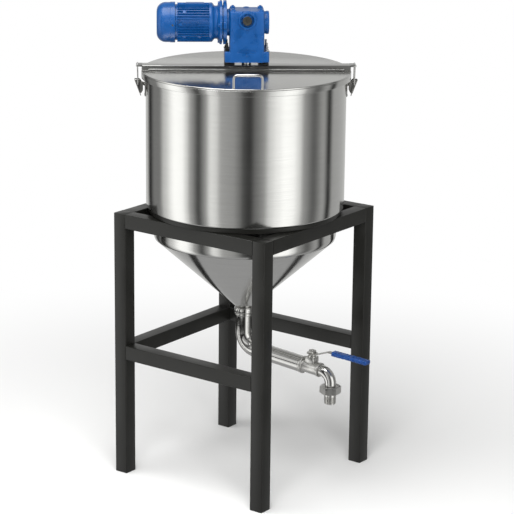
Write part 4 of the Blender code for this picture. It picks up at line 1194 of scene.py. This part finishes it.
def makeDrain():
    sizes = drain
    top, bottom = sizes["collarTop"], sizes["collarBottom"]
    made = shape()
    profile = [(0.0305, top)] + arc((0.0315, top - 0.0045), 0.0025, 90, 0, 4)
    profile += arc((0.0315, top - 0.0155), 0.0025, 0, -90, 4)
    profile += [(0.03, top - 0.0195), (0.03, top - 0.021)]
    profile += arc((0.0306, top - 0.0228), 0.0014, 90, 0, 3) + arc(
        (0.0306, bottom + 0.0014), 0.0014, 0, -90, 3,
    )
    profile += [(0.0255, bottom), (0.0255, top)]
    addTurned(made, profile, fineSides, ring=True)
    addWeldRing(made, 0.0303, 0.0014, top - 0.001, 44)
    keep("drainCollarRings", made, pipeSteel, "drain_collar", tankPlace)

    made = shape()
    end = sizes["valveOut"] - (sizes["valveHalf"] + gap) * math.cos(sizes["pitch"])
    corners = ((0.0, 0.0, bottom - gap), (0.0, 0.0, sizes["corner"]), (0.0, -end, drainHeight(end)))
    addBar(made, roundedPath(corners, sizes["bend"], 28), sizes["pipeRadius"], 96)
    keep("drainPipeBend", made, pipeSteel, "drain_pipe", tankPlace)

    along = valvePlace @ turnBy(-90, "X")
    half, body, ring = sizes["valveHalf"], sizes["valveRadius"], sizes["ring"]
    profile = [(0.0, half)] + arc((ring - 0.0022, half - 0.0022), 0.0022, 90, 0, 4)
    profile += arc((ring - 0.0022, half - 0.0098), 0.0022, 0, -90, 4)
    profile += arc((body + 0.0025, half - 0.0145), 0.0025, 90, 180, 4)
    profile += [(body, -half + 0.0115), (body + 0.0006, -half + 0.01)]
    profile += arc((body + 0.001, -half + 0.0076), 0.001, 90, 0, 3) + arc(
        (body + 0.001, -half + 0.001), 0.001, 0, -90, 3,
    )
    profile += [(0.0, -half)]
    keepTurned("valveCasting", profile, fineSides, fittingSteel, "valve_body", along)

    # bonnet with its saddle, four small bolts, gland and stem
    made = shape()
    seat = body + gap
    addBox(made, (0.036, 0.036, 0.018), (0.0, 0.0, seat + 0.005))
    roundEdges(made, 0.005, 4, only=runs("z", 0.01))
    roundEdges(made, softEdge, 2, 50.0)
    saddle = shape()
    addRod(saddle, seat, 0.1, (0.0, 0.0, 0.0), "y", 96)
    made = carved(made, saddle)
    stem = shape()
    padTop = seat + 0.014
    stemTop = sizes["leverLift"] - gap
    profile = [(0.0, stemTop), (0.0095, stemTop), (0.01, stemTop - 0.0005), (0.01, padTop + 0.0065)]
    profile += [(0.0135, padTop + 0.006), (0.0142, padTop + 0.0052), (0.0142, padTop - 0.001)]
    addTurned(stem, profile, 48)
    for across in (-1, 1):
        for back in (-1, 1):
            place = at(across * 0.0135, back * 0.0135, padTop - 0.0004)
            addScrewHead(stem, place, 0.0032, 0.0042, 0.0)
    made = merged(made, stem)
    keep("bonnetAndStem", made, fittingSteel, "valve_bonnet", valvePlace, turnOut=False)

    made = shape()
    bend = sizes["outletOut"] - sizes["valveOut"] - (half + gap) * math.cos(sizes["pitch"])
    start = sizes["outletOut"] - bend
    corners = (
        (0.0, -start, drainHeight(start)), (0.0, -sizes["outletOut"], drainHeight(sizes["outletOut"])),
        (0.0, -sizes["outletOut"], sizes["nutTop"] + gap),
    )
    addBar(made, roundedPath(corners, sizes["outletBend"], 24), sizes["outletRadius"], 80)
    keep("outletBendPipe", made, pipeSteel, "outlet_elbow", tankPlace)
    makeUnion()
    print("drain made")


def makeUnion():
    sizes = drain
    place = tankPlace @ at(0.0, -sizes["outletOut"], 0.0)
    low, high = sizes["nutBottom"], sizes["nutTop"]
    radius = sizes["nutAcross"] / math.sqrt(3.0)
    made = shape()
    spot = at(0.0, 0.0, (low + high) / 2) @ Matrix.Rotation(sizes["nutTurn"], 4, "Z")
    addPrism(made, radius, high - low, spot)
    # a turned blank rounds the corners at both ends
    blank = shape()
    flat = sizes["nutAcross"] / 2
    profile = [
        (0.0, high + 0.001), (flat - 0.001, high + 0.001), (flat - 0.0005, high),
        (radius + 0.001, high - 0.003),
    ]
    profile += [
        (radius + 0.001, low + 0.003), (flat - 0.0005, low), (flat - 0.001, low - 0.001),
        (0.0, low - 0.001),
    ]
    addTurned(blank, profile, fineSides)
    made = carved(made, blank, "INTERSECT")
    recess = shape()
    profile = [
        (0.0, high + 0.005), (0.0265, high + 0.005), (0.0265, high), (0.024, high - 0.0022),
        (0.0, high - 0.0022),
    ]
    addTurned(recess, profile, roundSides)
    made = carved(made, recess)
    keep("unionNutHex", made, fittingSteel, "union_nut", place, turnOut=False)

    outer, bore = sizes["nippleRadius"], sizes["bore"]
    low, high = sizes["nippleBottom"], sizes["nutBottom"] - gap
    profile = [(0.0, high), (outer, high), (outer, high - 0.0105), (outer - 0.0012, high - 0.0115)]
    pitch = sizes["thread"]
    height = high - 0.012
    while height - pitch > low + 0.0022:
        profile += [
            (outer, height - pitch * 0.35), (outer, height - pitch * 0.5),
            (outer - 0.0012, height - pitch * 0.95),
        ]
        height -= pitch
    profile += [
        (outer - 0.001, low + 0.0016), (outer - 0.0026, low), (bore + 0.001, low), (bore, low + 0.001),
        (bore, high - 0.0047), (0.0, high - 0.0047),
    ]
    keepTurned("outletThread", profile, fineSides, fittingSteel, "outlet_nipple", place)


makeDrain()


def makeValveLever():
    sizes = drain
    place = valvePlace @ at(0.0, 0.0, sizes["leverLift"])
    rise, thick = sizes["leverRise"], sizes["armThick"]
    heel, knee, crest = sizes["heel"], sizes["knee"], sizes["crest"]
    tilt = sizes["gripTilt"]
    run = sizes["gripStart"] + sizes["gripLength"] - sizes["gripEnd"]
    # flat on the stem, a steep climb to the crest, then straight on through the grip
    path = [(heel, 0.0), (0.0, 0.0), (0.003 - knee, 0.0), (-knee, 0.0005), (-knee - 0.0028, 0.0017)]
    path += [(0.0032 - crest, rise - 0.0015), (-crest, rise - 0.0002), (-crest - 0.0035, rise + 0.0001)]
    path += [(-crest - run * math.cos(tilt), rise + run * math.sin(tilt))]
    made = shape()
    addStrip(made, path, sizes["armWidth"], thick)
    roundEdges(made, crispEdge, 2, 50.0)
    # stem nut on a washer, with the stem's end standing through it
    addBolt(made, at(0.0, 0.0, thick), 0.025, 0.0095, 0.0012)
    addTurned(made, [(0.0, 0.015), (0.0052, 0.015), (0.006, 0.0142), (0.006, 0.01)], 32)
    keep("valveLeverArm", made, latchSteel, "valve_lever", place, body="valve_lever")

    # dipped vinyl sleeve, lumpy all over
    made = shape()
    long = sizes["gripLength"]
    addBox(made, (sizes["gripWidth"], long, sizes["gripThick"]), (0.0, 0.0, 0.0))
    roundEdges(made, 0.005, 5, only=runs("y", 0.05))
    roundEdges(made, 0.003, 3, 50.0)
    bmesh.ops.subdivide_edges(
        made, edges=[edge for edge in made.edges if abs(edge.verts[0].co.y - edge.verts[1].co.y) > 0.05],
        cuts=90, use_grid_fill=True,
    )
    for vert in made.verts:
        away = Vector((vert.co.x * 0.35, 0.0, vert.co.z)).normalized()
        lump = noise.noise(vert.co * 190.0) + 0.5 * noise.noise(vert.co * 420.0)
        narrow = 1.0 - 0.1 * max(0.0, vert.co.y / long + 0.1)
        vert.co.x *= narrow
        vert.co -= away * 0.0011 * (0.6 - lump)
    along = at(0.0, -crest, rise) @ Matrix.Rotation(-tilt, 4, "X")
    spot = along @ at(0.0, -sizes["gripStart"] - long / 2 + 0.0003, thick / 2)
    keep("valveLeverGrip", made, blueVinyl, "lever_grip", place @ spot, body="valve_lever", sharp=60.0)
    print("lever made")


makeValveLever()


# Toggle latches: plate and pivot on the shell, folded lever, and a wire bail over the bridge's tongue
latch = {
    "pivotOut": 0.366, "pivotHeight": 1.386, "wall": 0.3403, "plate": (0.003, 0.032, 0.05),
    "plateHeight": 1.361, "armWidth": 0.012, "armTip": 0.004, "pin": 0.0025, "pinHead": 0.0042,
    "half": 0.012, "channel": 0.018, "web": 0.002,
    "outline": (
        (0.0125, 0.0085), (-0.006, 0.0085), (-0.017, -0.007), (-0.017, -0.029), (-0.011, -0.0385),
        (-0.005, -0.0385),
    ),
    "tail": 0.011, "bailDrop": 0.009, "bailHalf": 0.018, "wire": 0.002, "bailLean": 0.0015,
    "bailInner": 0.0095, "bailBend": 0.0035, "bailTop": 1.4478,
}


def makeLatch(word, turn):
    sizes = latch
    frameTurn = bridgePlace @ Matrix.Rotation(turn, 4, "Z")
    place = frameTurn @ at(sizes["pivotOut"], 0.0, sizes["pivotHeight"])
    upright = turnBy(90, "X")
    wall = sizes["wall"] - sizes["pivotOut"]
    thick, wide, tall = sizes["plate"]

    made = shape()
    tip = sizes["armTip"]
    outline = [(wall + 0.001, -0.0045)] + arc((0.0, 0.0), tip, 100, -100, 10) + [(wall + 0.001, -0.0155)]
    addPlate(made, outline, sizes["armWidth"], upright)
    roundEdges(made, crispEdge, 2, 60.0)
    back = shape()
    addBox(back, sizes["plate"], (wall + thick / 2, 0.0, sizes["plateHeight"] - sizes["pivotHeight"]))
    roundEdges(back, 0.005, 4, only=runs("x", 0.002))
    roundEdges(back, crispEdge, 2, 60.0)
    for side in (-1, 1):
        for high in (-1, 1):
            spot = (
                wall + thick, side * (wide / 2 - 0.0055),
                sizes["plateHeight"] - sizes["pivotHeight"] + high * (tall / 2 - 0.006),
            )
            addTurned(
                back, [(0.0, 0.0016), (0.0016, 0.0013), (0.0028, 0.0)], 16,
                Matrix.Translation(spot) @ towards["x"],
            )
    addRod(back, sizes["pin"], 2 * sizes["half"] + 0.0006, (0.0, 0.0, 0.0), "y", 24)
    for side in (-1, 1):
        head = at(0.0, side * (sizes["half"] + 0.0002), 0.0) @ turnBy(-90 * side, "X")
        addTurned(back, [(0.0, 0.0016), (0.0024, 0.0013), (sizes["pinHead"], 0.0), (0.0, 0.0)], 24, head)
    made = merged(made, back)
    keep(f"{word}LatchPlate", made, latchSteel, f"{word}_latch_base", place)

    made = shape()
    outline = sizes["outline"]
    addPlate(made, outline, 2 * sizes["half"], upright)
    roundEdges(made, 0.0016, 3, 20.0)
    (topOut, topUp), (footOut, footUp) = outline[0], outline[-1]
    lean = math.atan2(topOut - footOut, topUp - footUp)
    face = topOut * math.cos(lean) - topUp * math.sin(lean)
    channel = shape()
    addBox(channel, (0.04, sizes["channel"], 0.09), (face - sizes["web"] - 0.02, 0.0, 0.0))
    bmesh.ops.transform(channel, matrix=Matrix.Rotation(lean, 4, "Y"), verts=channel.verts)
    made = carved(made, channel)
    holes = shape()
    addRod(holes, sizes["pin"] + 0.0004, 0.05, (0.0, 0.0, 0.0), "y", 24)
    made = carved(made, holes)
    holes = shape()
    for side in (-1, 1):
        spot = (0.0, side * (sizes["half"] + sizes["channel"] / 2) / 2, -sizes["bailDrop"])
        addRod(holes, sizes["wire"] + 0.0004, 0.006, spot, "y", 24)
    made = carved(made, holes)
    # finger tab below the lever's foot
    tab = shape()
    down = Vector((footOut - topOut, footUp - topUp)).normalized()
    start = Vector((footOut, footUp)) - down * 0.004
    end = start + down * (sizes["tail"] + 0.004)
    inward = Vector((down.y, -down.x)) * sizes["web"]
    corners = [tuple(start), tuple(end), tuple(end + inward), tuple(start + inward)]
    addPlate(tab, corners, 0.012, upright)
    roundEdges(tab, crispEdge, 2, 60.0)
    made = merged(made, tab)
    keep(
        f"{word}LatchHandle", made, latchSteel, f"{word}_latch_lever", place, body=f"{word}_latch_lever",
        turnOut=False,
    )

    made = shape()
    swing = frameTurn @ at(sizes["pivotOut"], 0.0, sizes["pivotHeight"] - sizes["bailDrop"])
    top = sizes["bailTop"] - sizes["pivotHeight"] + sizes["bailDrop"]
    inner, half, leanOut = sizes["bailInner"], sizes["bailHalf"], sizes["bailLean"]
    corners = (
        (0.0, -inner, 0.0), (0.0, -half, 0.0), (leanOut, -half, top), (leanOut, half, top),
        (0.0, half, 0.0), (0.0, inner, 0.0),
    )
    addBar(made, roundedPath(corners, sizes["bailBend"], 8), sizes["wire"], 20)
    keep(f"{word}LatchWire", made, wireSteel, f"{word}_latch_bail", swing, body=f"{word}_latch_bail")


for word, turn in (("right", 0.0), ("left", math.pi)):
    makeLatch(word, turn)
print("latches made")


# Shaft and paddle in the tank
mixer = {
    "gearboxBottom": 1.46, "shaft": 0.014, "collar": 0.016, "shaftBottom": 0.72, "hub": 0.024,
    "reach": 0.15, "bladeHeight": 0.036, "bladeBottom": 0.735, "bladeThick": 0.005, "bladeStart": 0.014,
}


def makeMixer():
    sizes = mixer
    top = sizes["gearboxBottom"] + 0.012
    low = bridge["bottom"]
    collar, shaft = sizes["collar"], sizes["shaft"]
    profile = [
        (0.0, top), (collar, top), (collar, low + 0.004), (shaft + 0.0004, low + 0.0002),
        (shaft, low - 0.0005),
    ]
    profile += [
        (shaft, 1.1), (shaft, sizes["shaftBottom"] + 0.0015), (shaft - 0.0015, sizes["shaftBottom"]),
        (0.0, sizes["shaftBottom"]),
    ]
    keepTurned("mixerShaftBar", profile, roundSides, wireSteel, "mixing_shaft", bridgePlace)

    made = shape()
    middle = sizes["bladeBottom"] + sizes["bladeHeight"] / 2
    for side in (-1, 1):
        blade = shape()
        start = sizes["bladeStart"]
        long = sizes["reach"] - start
        addBox(blade, (long, sizes["bladeThick"], sizes["bladeHeight"]), (0.0, 0.0, 0.0))
        roundEdges(
            blade, 0.008, 4,
            only=lambda edge: abs(
                edge.verts[0].co.y - edge.verts[1].co.y
            ) > 0.003 and edge.verts[0].co.x * side > 0,
        )
        roundEdges(blade, softEdge, 2, 60.0)
        spot = at(side * (sizes["reach"] + start) / 2, 0.0, middle) @ turnBy(45 * side, "X")
        bmesh.ops.transform(blade, matrix=spot, verts=blade.verts)
        made = merged(made, blade)
    hub = shape()
    half = sizes["bladeHeight"] / 2 + 0.005
    bore = shaft + gap
    profile = [
        (bore, middle + half), (sizes["hub"] - 0.002, middle + half), (sizes["hub"], middle + half - 0.002),
    ]
    profile += [
        (sizes["hub"], middle - half + 0.002), (sizes["hub"] - 0.002, middle - half), (bore, middle - half),
    ]
    addTurned(hub, profile, roundSides, ring=True)
    screw = at(0.0, -sizes["hub"] + 0.0005, middle + 0.012) @ turnBy(90, "X")
    addBolt(hub, screw, 0.01, 0.004)
    made = merged(made, hub)
    keep("mixerPaddleBlades", made, wireSteel, "mixing_paddle", bridgePlace)
    print("mixer made")


makeMixer()

# CAD nodes that are still plain take their finish
plain = {
    "brushed_steel": fittingSteel, "polished_steel": wireSteel, "dark_paint": charcoalPaint,
    "blue_paint": bluePaint, "blue_vinyl": blueVinyl, "black_plug": blackPlastic,
}
slotOf = {item["node"]: item["material_slot"] for item in frame["record"]["subparts"]}
for name, node in frame["nodes"].items():
    node.data.materials.clear()
    node.data.materials.append(plain[slotOf[name]])
